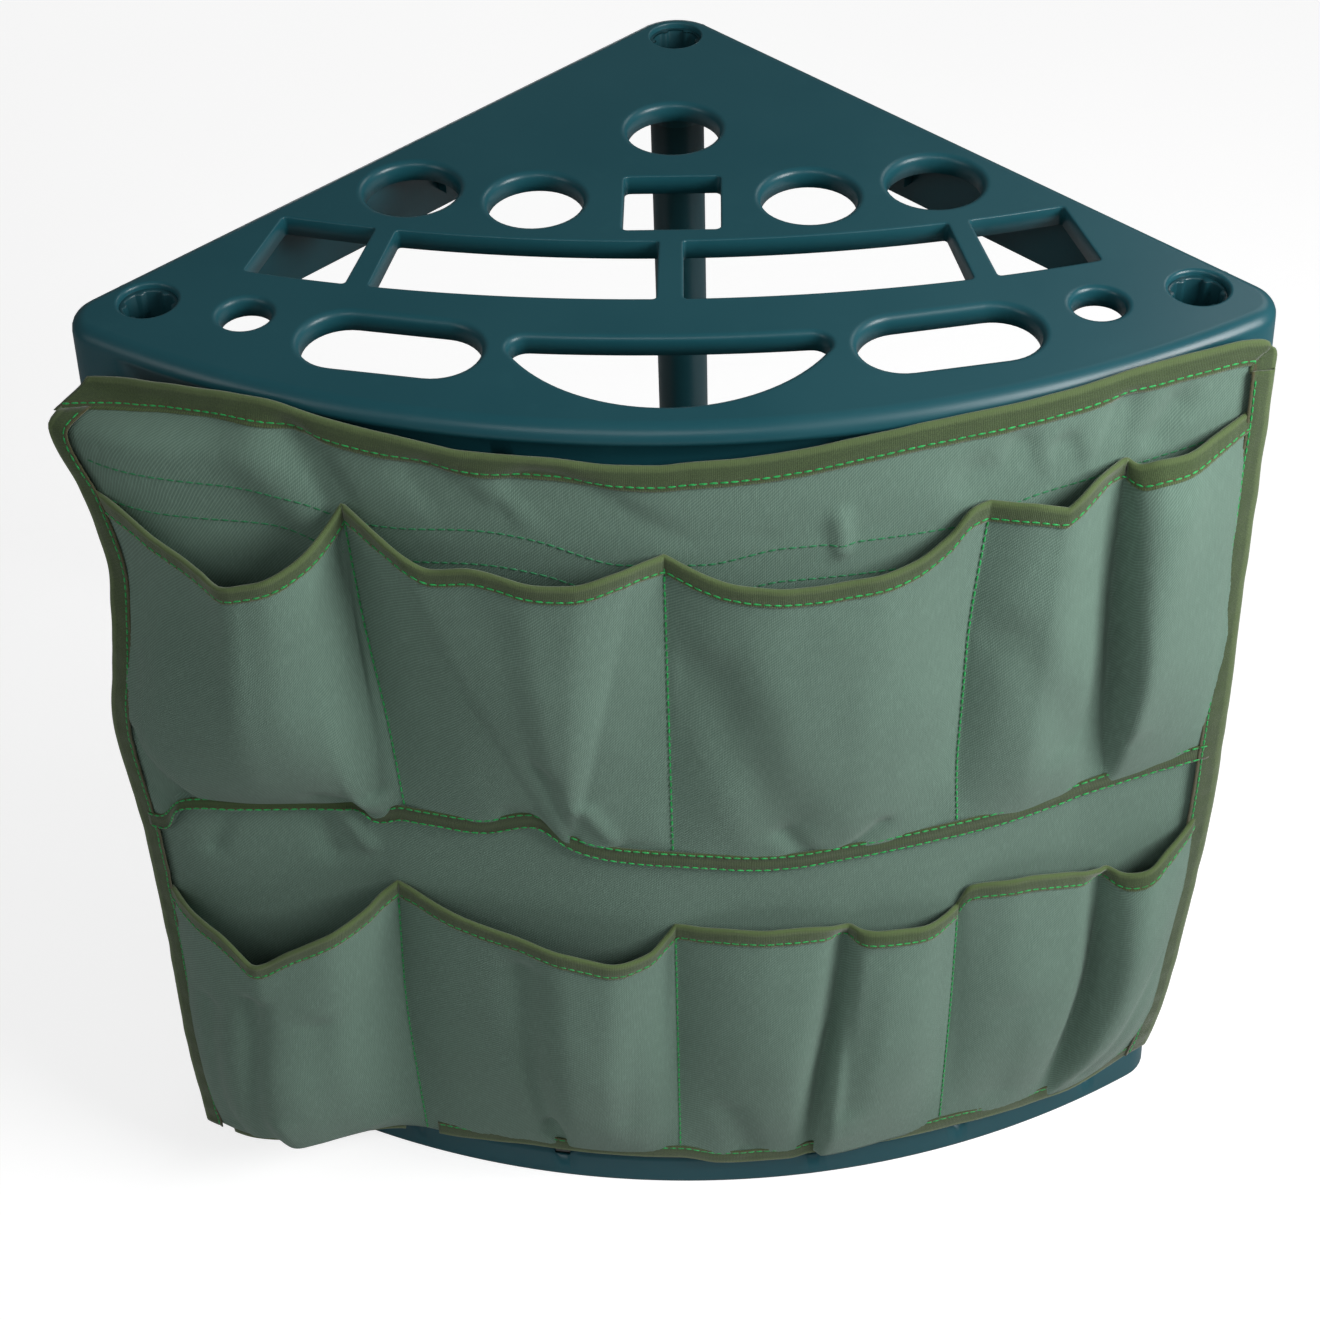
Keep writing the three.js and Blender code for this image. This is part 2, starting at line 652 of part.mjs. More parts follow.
// A strip of pockets from its sewn foot to its mouth; footLength is held flat by the tape over it.
function pocketStrip(pockets, bottomShare, topShare, footLength) {
  const height = (topShare - bottomShare) * (clothTop - clothBottom);
  const footShare = footLength / height;
  const mouthStep = clothThickness + 2 * fitGap + tapeThickness;
  const place = (s, b) => {
    const k = clamp(pocketEdges.findIndex((edge) => edge > s) - 1, 0, pockets.length - 1);
    const index = s >= trimHalfArc ? pockets.length - 1 : k;
    const start = pocketEdges[index] + fitGap;
    const t = clamp((s - start) / (pocketEdges[index + 1] - fitGap - start), 0, 1);
    const { bulge, sag, belly, lean = 1, hang = 0, hangOut = 0 } = pockets[index];
    const { pleat = 0, pleatDepth = 0 } = pockets[index];
    const fold = pleat ? Math.exp(-(((t - pleat) / pleatWidthShare) ** 2)) : 0;
    const across = bump(t ** lean) * (1 - pleatDepth * fold);
    const rise = hang ? Math.max(b, 0) : Math.max((b - footShare) / (1 - footShare), 0);
    const above = Math.max(1 - (b - hangFoldShare) / hangReachShare, 0);
    const pouch = b < hangFoldShare ? Math.max(b / hangFoldShare, 0) : above;
    const fromEnd = clamp((trimHalfArc - Math.abs(s)) / bindingWidth, 0, 1);
    const fromSeam = hang ? clamp((pocketEdges[index + 1] - s) / bindingWidth, 0, 1) : 0;
    const lifted = fromEnd * Math.max(Math.min(rise * 2, 1), fromSeam);
    const step = layerStep + (mouthStep - layerStep) * lifted;
    const full = belly * bump(Math.min(rise, 1) ** 0.7) + bulge * rise ** 1.5 + hangOut * pouch;
    const climb = clamp((s - pocketSeamArcs[2]) / (trimHalfArc - pocketSeamArcs[2]), 0, 1) * rise ** 3;
    const v = bottomShare + (topShare - bottomShare) * b + edgeShare(rightMouthRise) * climb;
    const out = clothPull(s, v) + step + pocketFullness * full * across;
    const drop = sag * across * rise ** 3 + hang * bump(t) * pouch ** 1.5;
    return onCloth(clothArc(s, v), clothHeightAt(s, v) - pocketFullness * drop, out);
  };
  const lip = 1 - bindingWidth / height;
  const tucked = [leftTuckFootShare, leftTuckPeakShare]
    .map((share) => (share - bottomShare) / (topShare - bottomShare))
    .filter((b) => b > 0 && b < lip);
  const spread = tucked.length ? tuckedRowShares : plainRowShares;
  const rows = [0, footShare, ...spread, ...tucked, lip, 1 - sideInset / height];
  rows.sort((a, b) => a - b);
  return { place, height, rows };
}

const seamHalf = bindingWidth / 2;
const upperStrip = pocketStrip(
  upperPocketShares,
  middleSeamShare - edgeShare(seamHalf - fitGap),
  upperMouthShare,
  bindingWidth,
);
const lowerStrip = pocketStrip(lowerPocketShares, edgeShare(sideInset), lowerMouthShare, bindingWidth);

const stripHalfArc = panelHalfArc - 3 * fitGap;
const stripSolid = ({ place, rows }) =>
  sheet(place, arcStations(-stripHalfArc, stripHalfArc), rows, clothThickness);

const clothRows = [
  ...evenSteps(0, leftTuckFootShare, panelSteps),
  leftTuckPeakShare,
  upperMouthShare,
  1 - edgeShare(2 * bindingWidth),
  leftTuckHeadShare,
  1,
];

function backPanel() {
  const low = edgeShare(sideInset);
  const rows = [low, ...clothRows.slice(1, -1), 1 - low];
  return sheet(panelPoint, arcStations(-panelHalfArc, panelHalfArc), rows, clothThickness);
}

// A tape folded over an edge: the outer wrap less the room for one or two layers of cloth.
function foldedTape(place, wrap, room, layers, lift) {
  const inside = layers * clothThickness + (layers + 1.5) * fitGap;
  const outer = sheet(place, wrap.along, wrap.up, inside + 2 * tapeThickness, lift);
  return outer.subtract(sheet(place, room.along, room.up, inside, lift));
}

// The tape along one stretch of a level edge; sign is -1 where the cloth lies below the edge.
function edgeTape(place, from, to, edge, widthShare, lipShare, sign, layers) {
  const level = (a, b) => (sign > 0 ? [a, b] : [b, a]);
  const along = arcStations(from, to);
  const wrap = { along, up: level(edge, edge + sign * widthShare) };
  const longer = [from - overrun, ...along, to + overrun];
  const room = { along: longer, up: level(edge + sign * lipShare, edge + sign * widthShare * 1.5) };
  return foldedTape(place, wrap, room, layers, layers > 1 ? layerStep / 2 : 0);
}

const widthShare = edgeShare(bindingWidth);
const lipShare = edgeShare(tapeThickness);
const firstSeam = pocketSeamArcs[0];
const topBinding = () => edgeTape(panelPoint, -trimHalfArc, trimHalfArc, 1, widthShare, lipShare, -1, 1);
const bottomBinding = () =>
  edgeTape(panelPoint, firstSeam + fitGap, trimHalfArc, 0, widthShare, lipShare, 1, 2);
const bottomBindingLeft = () =>
  edgeTape(
    panelPoint,
    -trimHalfArc + 2 * bindingWidth,
    firstSeam - 2 * bindingWidth,
    0,
    widthShare,
    lipShare,
    1,
    1,
  );

function mouthBinding({ place, height }) {
  const width = bindingWidth / height;
  return edgeTape(place, -mouthHalfArc, mouthHalfArc, 1, width, tapeThickness / height, -1, 1);
}

function sideBinding(side) {
  const level = (...arcs) => (side > 0 ? arcs.reverse() : arcs.map((s) => -s));
  const wrap = { along: level(clothHalfArc, panelHalfArc, clothHalfArc - bindingWidth), up: clothRows };
  const run = edgeShare(overrun);
  const deep = [clothHalfArc - tapeThickness, panelHalfArc, trimHalfArc, clothHalfArc - 2 * bindingWidth];
  const room = { along: level(...deep), up: [-run, ...clothRows, 1 + run] };
  return foldedTape(panelPoint, wrap, room, 2, layerStep / 2);
}

// A flat tape over the sewn foot of the upper strip.
function middleSeamTape() {
  const up = [middleSeamShare - edgeShare(seamHalf), middleSeamShare + edgeShare(seamHalf)];
  return sheet(panelPoint, arcStations(-trimHalfArc, trimHalfArc), up, tapeThickness, 2 * layerStep);
}

function fasteningBand() {
  const top = 1 - edgeShare(bandTopDrop);
  const up = [top - edgeShare(bandWidth), top];
  return sheet(panelPoint, arcStations(-trimHalfArc, trimHalfArc), up, tapeThickness, -layerStep);
}

// A tab sewn behind the cloth, through its slot, with a toggle behind the tray's wall.
function strapTab(s, slotHeight, upwards) {
  const v = (slotHeight - clothBottom) / (clothTop - clothBottom);
  const sides = [s - tabWidth / 2, s + tabWidth / 2];
  const pull = Math.min(...sides.map((side) => clothPull(side, Math.max(v, 0))));
  const behindCloth = clothRadius + pull - clothThickness / 2 - fitGap;
  const behindTape = behindCloth - tapeThickness - fitGap;
  const wall = frontRadiusAt(recessBottom) - recessDepth - wallThickness;
  const toggleFace = wall - fitGap - toggleSlack;
  const sign = upwards ? 1 : -1;
  const plate = (inner, outer, half, from, to) =>
    prism(
      frontSector(inner, outer, s - half, s + half, 1),
      Math.min(slotHeight + sign * from, slotHeight + sign * to),
      Math.max(slotHeight + sign * from, slotHeight + sign * to),
    );
  const halfThickness = tabThickness / 2;
  const tongue = plate(
    toggleFace - toggleThickness / 2,
    behindTape,
    tabWidth / 2,
    -halfThickness,
    halfThickness,
  );
  const hem = Math.max(...sides.map((side) => clothHeightAt(side, widthShare))) + fitGap;
  const sewn = upwards ? hem - slotHeight : halfThickness;
  const reach = upwards ? sewn + tabLap : tabPatchHeight;
  const riser = plate(behindTape - tapeThickness, behindTape, tabWidth / 2, -halfThickness, reach);
  const patch = plate(behindTape - tapeThickness, behindCloth, tabWidth / 2, sewn, reach);
  const toggle = plate(
    toggleFace - toggleThickness,
    toggleFace,
    toggleLength / 2,
    -toggleHeight / 2,
    toggleHeight / 2,
  );
  return join([tongue, riser, patch, toggle]);
}

const rack = new THREE.Group();

function addNode(name, geometry, material, x = 0, y = 0, z = 0) {
  const mesh = new THREE.Mesh(geometry, material);
  mesh.name = name;
  mesh.position.set(x, y, z);
  rack.add(mesh);
}

addNode("top_tray", toGeometry(topTray()), teal, 0, 0, rackHeight - trayHeight);
addNode("base_tray", toGeometry(baseTray()), teal);
posts.forEach(({ name, at }) => addNode(name, post(), darkTeal, at[0], at[1]));

addNode("cloth_back_panel", toGeometry(backPanel()), canvas);
addNode("upper_pocket_strip", toGeometry(stripSolid(upperStrip)), canvas);
addNode("lower_pocket_strip", toGeometry(stripSolid(lowerStrip)), canvas);
addNode("top_binding", toGeometry(topBinding()), olive);
addNode("bottom_binding", toGeometry(bottomBinding()), olive);
addNode("bottom_binding_left", toGeometry(bottomBindingLeft()), olive);
addNode("left_binding", toGeometry(sideBinding(-1)), olive);
addNode("right_binding", toGeometry(sideBinding(1)), olive);
addNode("upper_mouth_binding", toGeometry(mouthBinding(upperStrip)), olive);
addNode("lower_mouth_binding", toGeometry(mouthBinding(lowerStrip)), olive);
addNode("middle_seam_tape", toGeometry(middleSeamTape()), olive);
addNode("fastening_band", toGeometry(fasteningBand()), webbing);

strapArcs.forEach((s, i) => {
  const topSlot = rackHeight - trayHeight + recessBottom;
  addNode("top_strap_tab_" + (i + 1), toGeometry(strapTab(s, topSlot, false)), togglePlastic);
  addNode("base_strap_tab_" + (i + 1), toGeometry(strapTab(s, recessBottom, true)), togglePlastic);
});

// The part's frame: the middle of its box, on the floor.
const frame = new THREE.Box3().setFromObject(rack);
const middle = frame.getCenter(new THREE.Vector3());
rack.position.set(-middle.x, -middle.y, -frame.min.z);

const part = new THREE.Group();
part.add(rack);

export default part;
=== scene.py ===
"""A freestanding corner tool rack: two slotted trays of one bowed plan, three tube posts between them,
and a sewn cloth with two rows of pockets hung round the front.

The rack is drawn in millimetres from the wall corner, with x to the right, y to the back and z up.
Meshes are brought into the part's own frame, in metres, where they are made.
"""

import logging
import math
from dataclasses import dataclass, field
from enum import Enum
from functools import partial
from typing import Callable, Iterable, Sequence

import bmesh
import bpy
from mathutils import Matrix, Vector, noise


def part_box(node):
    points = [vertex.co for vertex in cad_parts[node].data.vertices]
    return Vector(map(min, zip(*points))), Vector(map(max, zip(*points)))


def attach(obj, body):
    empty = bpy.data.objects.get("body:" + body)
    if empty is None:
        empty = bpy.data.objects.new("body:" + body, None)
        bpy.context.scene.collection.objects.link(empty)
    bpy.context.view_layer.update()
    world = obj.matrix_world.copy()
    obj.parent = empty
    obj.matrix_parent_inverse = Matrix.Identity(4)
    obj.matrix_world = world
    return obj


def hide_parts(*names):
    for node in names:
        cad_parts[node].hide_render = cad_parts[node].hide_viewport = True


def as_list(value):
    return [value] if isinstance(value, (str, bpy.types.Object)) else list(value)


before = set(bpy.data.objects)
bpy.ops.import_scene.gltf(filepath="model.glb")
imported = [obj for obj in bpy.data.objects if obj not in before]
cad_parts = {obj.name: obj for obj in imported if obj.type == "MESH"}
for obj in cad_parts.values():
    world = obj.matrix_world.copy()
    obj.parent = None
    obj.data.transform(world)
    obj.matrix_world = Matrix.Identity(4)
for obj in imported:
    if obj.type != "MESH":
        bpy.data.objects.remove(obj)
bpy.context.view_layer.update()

LOG = logging.getLogger("tool_rack")
MM = 0.001
STITCH_PITCH = 5.0
ROOT_TWO = math.sqrt(2)
EIGHTH = math.pi / 4  # of a turn
DOWN = -math.pi / 2  # the angle of the way to the front, seen from above

Colour = tuple[float, float, float]
Place = Callable[[float, float], Vector]
Outline = Callable[[float], list[Vector]]
Socket = bpy.types.NodeSocket
Piece = bpy.types.Object
Body = bmesh.types.BMesh
Loop = list[bmesh.types.BMEdge]


def srgb(red: int, green: int, blue: int) -> Colour:
    """Gives the linear colour of three 8-bit screen values."""

    def linear(value: int) -> float:
        share = value / 255
        return share / 12.92 if share <= 0.04045 else ((share + 0.055) / 1.055) ** 2.4

    return (linear(red), linear(green), linear(blue))


def clamp(value: float, low: float = 0.0, high: float = 1.0) -> float:
    """Keeps a value between two limits."""
    return min(max(value, low), high)


def mix(start: float, end: float, share: float) -> float:
    """Goes from start to end by a share."""
    return start + (end - start) * share


def ease(share: float) -> float:
    """Rises smoothly from 0 to 1."""
    share = clamp(share)
    return share * share * (3 - 2 * share)


def rough(x: float, y: float, seed: float) -> float:
    """Gives smooth noise from about -1 to 1 over a plane, another one for each seed."""
    return noise.noise(Vector((x, y, seed)))


def steps(start: float, end: float, count: int) -> list[float]:
    """Gives count + 1 even places from start to end."""
    return [mix(start, end, i / count) for i in range(count + 1)]


class Line:
    """A smooth line through given points, each a place along it followed by its values."""

    def __init__(self, *points: tuple[float, ...], corners: tuple[int, ...] = ()) -> None:
        """Works out the slope at each point.

        Args:
            points: Each a place along the line and one or more values there, in rising order.
            corners: Indexes of points where the line bends sharply.
        """
        self.places = [point[0] for point in points]
        self.values = [point[1:] for point in points]
        last = len(points) - 1
        chords = [
            tuple(
                (b - a) / max(self.places[i + 1] - self.places[i], 1e-9)
                for a, b in zip(self.values[i], self.values[i + 1])
            )
            for i in range(last)
        ]
        self.into = [chords[max(i - 1, 0)] for i in range(last + 1)]
        self.out_of = [chords[min(i, last - 1)] for i in range(last + 1)]
        for i in range(1, last):
            if i not in corners:
                shared = tuple(self._slope(i, a, b) for a, b in zip(chords[i - 1], chords[i]))
                self.into[i] = self.out_of[i] = shared
        self.known: dict[float, tuple[float, ...]] = {}

    def _slope(self, index: int, before: float, after: float) -> float:
        """Gives a slope that never overshoots the two chords beside a point."""
        if before * after <= 0:
            return 0.0
        left = self.places[index] - self.places[index - 1]
        right = self.places[index + 1] - self.places[index]
        shared = (before * right + after * left) / (left + right)
        return math.copysign(min(abs(shared), 3 * min(abs(before), abs(after))), shared)

    def at(self, place: float) -> tuple[float, ...]:
        """Gives the values at a place, held past both ends."""
        if place not in self.known:
            self.known[place] = self._work_out(clamp(place, self.places[0], self.places[-1]))
        return self.known[place]

    def _work_out(self, place: float) -> tuple[float, ...]:
        """Works out the values at a place between both ends."""
        index = 0
        while index < len(self.places) - 2 and place > self.places[index + 1]:
            index += 1
        span = self.places[index + 1] - self.places[index]
        t = (place - self.places[index]) / max(span, 1e-9)
        rise = t * t * (3 - 2 * t)
        lead, tail = t * (1 - t) ** 2 * span, -t * t * (1 - t) * span
        return tuple(
            a + (b - a) * rise + leave * lead + arrive * tail
            for a, b, leave, arrive in zip(
                self.values[index],
                self.values[index + 1],
                self.out_of[index],
                self.into[index + 1],
            )
        )

    def value(self, place: float) -> float:
        """Gives the first value at a place."""
        return self.at(place)[0]


class Graph:
    """The node tree of one material, with its surface shader."""

    def __init__(self, name: str) -> None:
        """Makes the material with an output and a Principled shader.

        Args:
            name: The material's name.
        """
        self.material = bpy.data.materials.new(name)
        self.material.use_nodes = True
        self.tree = self.material.node_tree
        self.tree.nodes.clear()
        self.shader = self.add("ShaderNodeBsdfPrincipled")
        self.put(self.add("ShaderNodeOutputMaterial").inputs["Surface"], self.shader.outputs["BSDF"])

    def add(self, kind: str, **settings: object) -> bpy.types.Node:
        """Adds a node; settings are its properties."""
        node = self.tree.nodes.new(kind)
        for key, value in settings.items():
            setattr(node, key, value)
        return node

    def put(self, socket: Socket, value: object) -> None:
        """Links a socket to another one or sets its value, where a colour gets its alpha."""
        if isinstance(value, Socket):
            self.tree.links.new(value, socket)
        else:
            socket.default_value = (*value, 1.0) if socket.type == "RGBA" else value

    def feed(self, node: bpy.types.Node, *values: object) -> Socket:
        """Puts values into a node's inputs in order, and gives its first output."""
        for socket, value in zip(node.inputs, values):
            self.put(socket, value)
        return node.outputs[0]

    def fill(self, node: bpy.types.Node, **values: object) -> Socket:
        """Puts values into a node's inputs by name, with _ for a blank, and gives its first output."""
        for key, value in values.items():
            self.put(node.inputs[key.replace("_", " ").title()], value)
        return node.outputs[0]

    def set(self, **values: object) -> None:
        """Puts values into the shader's inputs by name."""
        self.fill(self.shader, **values)

    def sum(self, operation: str, *values: object) -> Socket:
        """Adds a Math node."""
        return self.feed(self.add("ShaderNodeMath", operation=operation), *values)

    def wave(self, place: Socket, pitch: float) -> Socket:
        """Gives a sine wave of a pitch."""
        return self.sum("SINE", self.sum("MULTIPLY", place, math.tau / pitch))

    def spread(self, value: Socket, low: float, high: float) -> Socket:
        """Maps low to 0 and high to 1, clamped and smooth."""
        node = self.add("ShaderNodeMapRange", interpolation_type="SMOOTHSTEP")
        return self.feed(node, value, low, high, 0.0, 1.0)

    def scaled(self, value: Socket, low: float, high: float) -> Socket:
        """Maps 0 to low and 1 to high."""
        return self.feed(self.add("ShaderNodeMapRange"), value, 0.0, 1.0, low, high)

    def blend(self, share: Socket, first: object, second: object) -> Socket:
        """Mixes two colours by a share."""
        node = self.add("ShaderNodeMix", data_type="RGBA", clamp_factor=True)
        for index, value in ((0, share), (6, first), (7, second)):
            self.put(node.inputs[index], value)
        return node.outputs[2]

    def tint(self, tone: object, colour: Colour, share: Socket, most: float) -> Socket:
        """Mixes a colour into a tone by a share, times the most that there may be of it."""
        return self.blend(self.scaled(share, 0.0, most), tone, colour)

    def noise(self, vector: Socket, scale: float, detail: float = 2.0) -> Socket:
        """Adds a noise texture and gives its value."""
        return self.fill(self.add("ShaderNodeTexNoise"), vector=vector, scale=scale, detail=detail)

    def stretch(self, vector: Socket, scale: Sequence[float]) -> Socket:
        """Scales a pattern's coordinates along each axis."""
        return self.fill(self.add("ShaderNodeMapping"), vector=vector, scale=scale)

    def places(self) -> Socket:
        """Gives the piece's own coordinates in metres."""
        return self.add("ShaderNodeTexCoord").outputs["Object"]

    def split(self, vector: Socket) -> Sequence[Socket]:
        """Gives the three parts of a vector."""
        node = self.add("ShaderNodeSeparateXYZ")
        self.feed(node, vector)
        return node.outputs

    def along_and_up(self) -> tuple[Socket, Socket, Socket]:
        """Gives the cloth's coordinates in millimetres: the vector, along and up."""
        vector = self.add("ShaderNodeUVMap", uv_map="weave").outputs[0]
        along, up, _ = self.split(vector)
        return vector, along, up

    def relief(self, height: Socket, depth: float, strength: float) -> None:
        """Gives the shader a bump of a depth in metres."""
        bump = self.add("ShaderNodeBump")
        self.set(normal=self.fill(bump, strength=strength, distance=depth, height=height))


@dataclass(frozen=True)
class MouldedPlastic:
    """Satin injection-moulded plastic with a fine spark-eroded grain and light rubbing."""

    name: str
    colour: Colour
    rubbed: Colour
    smoothness: tuple[float, float] = (0.3, 0.42)
    grain: float = 1500.0
    grain_depth: float = 0.00006

    def material(self) -> bpy.types.Material:
        """Builds the material."""
        graph = Graph(self.name)
        places = graph.places()
        clouds = graph.noise(places, 9.0, 4.0)
        rubs = graph.spread(graph.noise(graph.stretch(places, (1.0, 1.0, 3.0)), 60.0, 6.0), 0.56, 0.78)
        tone = graph.tint(self.colour, self.rubbed, graph.spread(clouds, 0.3, 0.7), 0.35)
        graph.set(
            base_color=graph.tint(tone, self.rubbed, rubs, 0.3),
            roughness=graph.scaled(graph.spread(clouds, 0.25, 0.75), *self.smoothness),
        )
        graph.relief(graph.noise(places, self.grain, 1.0), self.grain_depth, 0.35)
        return graph.material


@dataclass(frozen=True)
class PocketTwill:
    """Dull twill canvas, its diagonal ribs drawn on the cloth's own coordinates in millimetres."""

    name: str
    colour: Colour
    shade: Colour
    light: Colour
    rib_pitch: float = 2.0
    yarn_pitch: float = 0.9
    depth: float = 0.00035
    roughness: float = 0.86
    sheen: float = 0.12

    def material(self) -> bpy.types.Material:
        """Builds the material."""
        graph = Graph(self.name)
        vector, along, up = graph.along_and_up()
        wobble = graph.scaled(graph.noise(vector, 0.05, 3.0), -1.2, 1.2)
        diagonal = graph.sum("ADD", graph.sum("ADD", along, up), wobble)
        rib = graph.scaled(graph.wave(diagonal, self.rib_pitch), 0.5, 1.0)
        yarn = graph.wave(along, self.yarn_pitch)
        slub = graph.noise(graph.stretch(vector, (1.4, 0.12, 1.0)), 1.0, 3.0)
        clouds = graph.noise(vector, 0.012, 4.0)
        tone = graph.blend(graph.spread(clouds, 0.3, 0.72), self.shade, self.colour)
        tone = graph.tint(tone, self.light, graph.spread(slub, 0.4, 0.75), 0.5)
        tone = graph.blend(graph.scaled(rib, 0.75, 0.0), tone, self.shade)
        tone = graph.tint(tone, self.light, rib, 0.7)
        height = graph.sum("ADD", rib, graph.sum("MULTIPLY", yarn, 0.15))
        graph.relief(graph.sum("ADD", height, graph.sum("MULTIPLY", slub, 0.5)), self.depth, 0.6)
        graph.set(base_color=tone, roughness=self.roughness, sheen_weight=self.sheen, sheen_roughness=0.5)
        return graph.material


@dataclass(frozen=True)
class EdgeTape:
    """Woven binding tape: along runs with it, up is 0 on its fold and grows towards its stitched edge."""

    name: str
    colour: Colour
    dark: Colour
    light: Colour
    stitch_line: float
    edge: float
    needle: Colour = srgb(92, 62, 44)  # beside the stitches
    rib_pitch: float = 0.9
    fray_pitch: float = 1.3
    depth: float = 0.0003
    roughness: float = 0.9
    sheen: float = 0.3

    def material(self) -> bpy.types.Material:
        """Builds the material."""
        graph = Graph(self.name)
        vector, along, up = graph.along_and_up()
        fuzz = graph.noise(vector, 1.3, 3.0)
        clouds = graph.noise(graph.stretch(vector, (0.05, 0.4, 1.0)), 1.0, 3.0)
        tone = graph.blend(graph.spread(fuzz, 0.3, 0.7), self.dark, self.colour)
        tone = graph.tint(tone, self.dark, graph.spread(clouds, 0.35, 0.7), 0.5)
        across = graph.sum("ABSOLUTE", up)
        # Lighter along the fold: partly real wear, partly a painted highlight on the rolled edge.
        ragged = graph.sum("ADD", across, graph.scaled(graph.noise(vector, 0.6, 2.0), -0.9, 0.9))
        fold_wear_and_highlight = graph.sum("SUBTRACT", 1.0, graph.spread(ragged, 0.5, 2.4))
        tone = graph.tint(tone, self.light, fold_wear_and_highlight, 0.6)
        far = graph.sum("ABSOLUTE", graph.sum("SUBTRACT", across, self.stitch_line))
        rough = graph.sum("ADD", far, graph.scaled(graph.noise(vector, 0.9, 2.0), -0.5, 0.5))
        near = graph.sum("SUBTRACT", 1.0, graph.spread(rough, 0.5, 1.3))
        tone = graph.tint(tone, self.needle, near, 0.4)
        comb = graph.spread(graph.wave(along, self.fray_pitch), -0.2, 0.4)
        frayed = graph.sum("MULTIPLY", graph.spread(across, self.edge - 1.4, self.edge - 0.9), comb)
        ribs = graph.sum("MULTIPLY", graph.wave(along, self.rib_pitch), 0.2)
        graph.relief(graph.sum("ADD", fuzz, ribs), self.depth, 0.7)
        graph.set(
            base_color=graph.tint(tone, self.light, frayed, 0.75),
            roughness=self.roughness,
            sheen_weight=self.sheen,
            sheen_roughness=0.5,
        )
        return graph.material


@dataclass(frozen=True)
class SewingThread:
    """Bright twisted polyester thread."""

    name: str
    colour: Colour
    shade: Colour

    def material(self) -> bpy.types.Material:
        """Builds the material."""
        graph = Graph(self.name)
        twist = graph.noise(graph.places(), 900.0, 2.0)
        tone = graph.blend(graph.spread(twist, 0.35, 0.65), self.shade, self.colour)
        graph.relief(twist, 0.0001, 0.5)
        graph.set(base_color=tone, roughness=0.55, sheen_weight=0.15)
        return graph.material


@dataclass(frozen=True)
class Webbing:
    """Coarse strap webbing, ribbed across its length."""

    name: str
    colour: Colour
    dark: Colour
    rib_pitch: float = 0.0016

    def material(self) -> bpy.types.Material:
        """Builds the material."""
        graph = Graph(self.name)
        places = graph.places()
        ribs = graph.wave(graph.split(places)[2], self.rib_pitch)
        weave = graph.sum("ADD", ribs, graph.noise(places, 700.0, 3.0))
        graph.relief(weave, 0.0003, 0.7)
        tone = graph.blend(graph.spread(weave, -0.2, 1.2), self.dark, self.colour)
        graph.set(base_color=tone, roughness=0.88, sheen_weight=0.2)
        return graph.material


class Finish(Enum):
    """The rack's finishes, each a slot name and a material."""

    TRAY = ("tray_plastic", MouldedPlastic("teal_tray_plastic", srgb(26, 80, 90), srgb(36, 90, 99)))
    POST = ("post_plastic", MouldedPlastic("dark_teal_post_plastic", srgb(20, 64, 72), srgb(32, 76, 84)))
    TOGGLE = ("strap_tab", MouldedPlastic("dark_toggle_plastic", srgb(36, 46, 45), srgb(52, 62, 60)))
    CLOTH = (
        "pocket_cloth",
        PocketTwill("green_grey_twill", srgb(80, 109, 95), srgb(67, 93, 81), srgb(127, 157, 141)),
    )
    TAPE = (
        "edge_tape",
        EdgeTape("olive_binding_tape", srgb(74, 94, 52), srgb(54, 72, 38), srgb(96, 116, 68), 10.4, 13.0),
    )
    MOUTH_TAPE = (
        "edge_tape",
        EdgeTape("olive_mouth_tape", srgb(76, 96, 54), srgb(56, 74, 40), srgb(94, 114, 66), 8.3, 10.2),
    )
    SEAM_TAPE = (
        "edge_tape",
        EdgeTape("olive_seam_tape", srgb(66, 86, 46), srgb(48, 64, 34), srgb(66, 86, 46), 4.9, 6.2),
    )
    THREAD = ("edge_tape", SewingThread("green_thread", srgb(30, 184, 90), srgb(16, 136, 62)))
    HIDDEN_THREAD = ("pocket_cloth", SewingThread("muted_green_thread", srgb(42, 138, 86), srgb(30, 108, 66)))
    # Painted shade: the webbing is made dark so that the strap in each tray slot stands in for the shade
    # inside the slot; the band behind the cloth shares it.
    WEBBING = ("webbing", Webbing("webbing_darkened_for_slot_shade", srgb(32, 41, 35), srgb(18, 24, 20)))

    def made(self) -> bpy.types.Material:
        """Gives the finish's material, made once."""
        found = bpy.data.materials.get(self.value[1].name)
        return found or self.value[1].material()


def meshed(name: str, body: Body) -> bpy.types.Mesh:
    """Turns a bmesh into a mesh, and frees it."""
    mesh = bpy.data.meshes.new(name)
    body.to_mesh(mesh)
    body.free()
    return mesh


def placed(name: str, data: bpy.types.ID) -> Piece:
    """Puts an object with its data into the scene."""
    made = bpy.data.objects.new(name, data)
    bpy.context.scene.collection.objects.link(made)
    return made


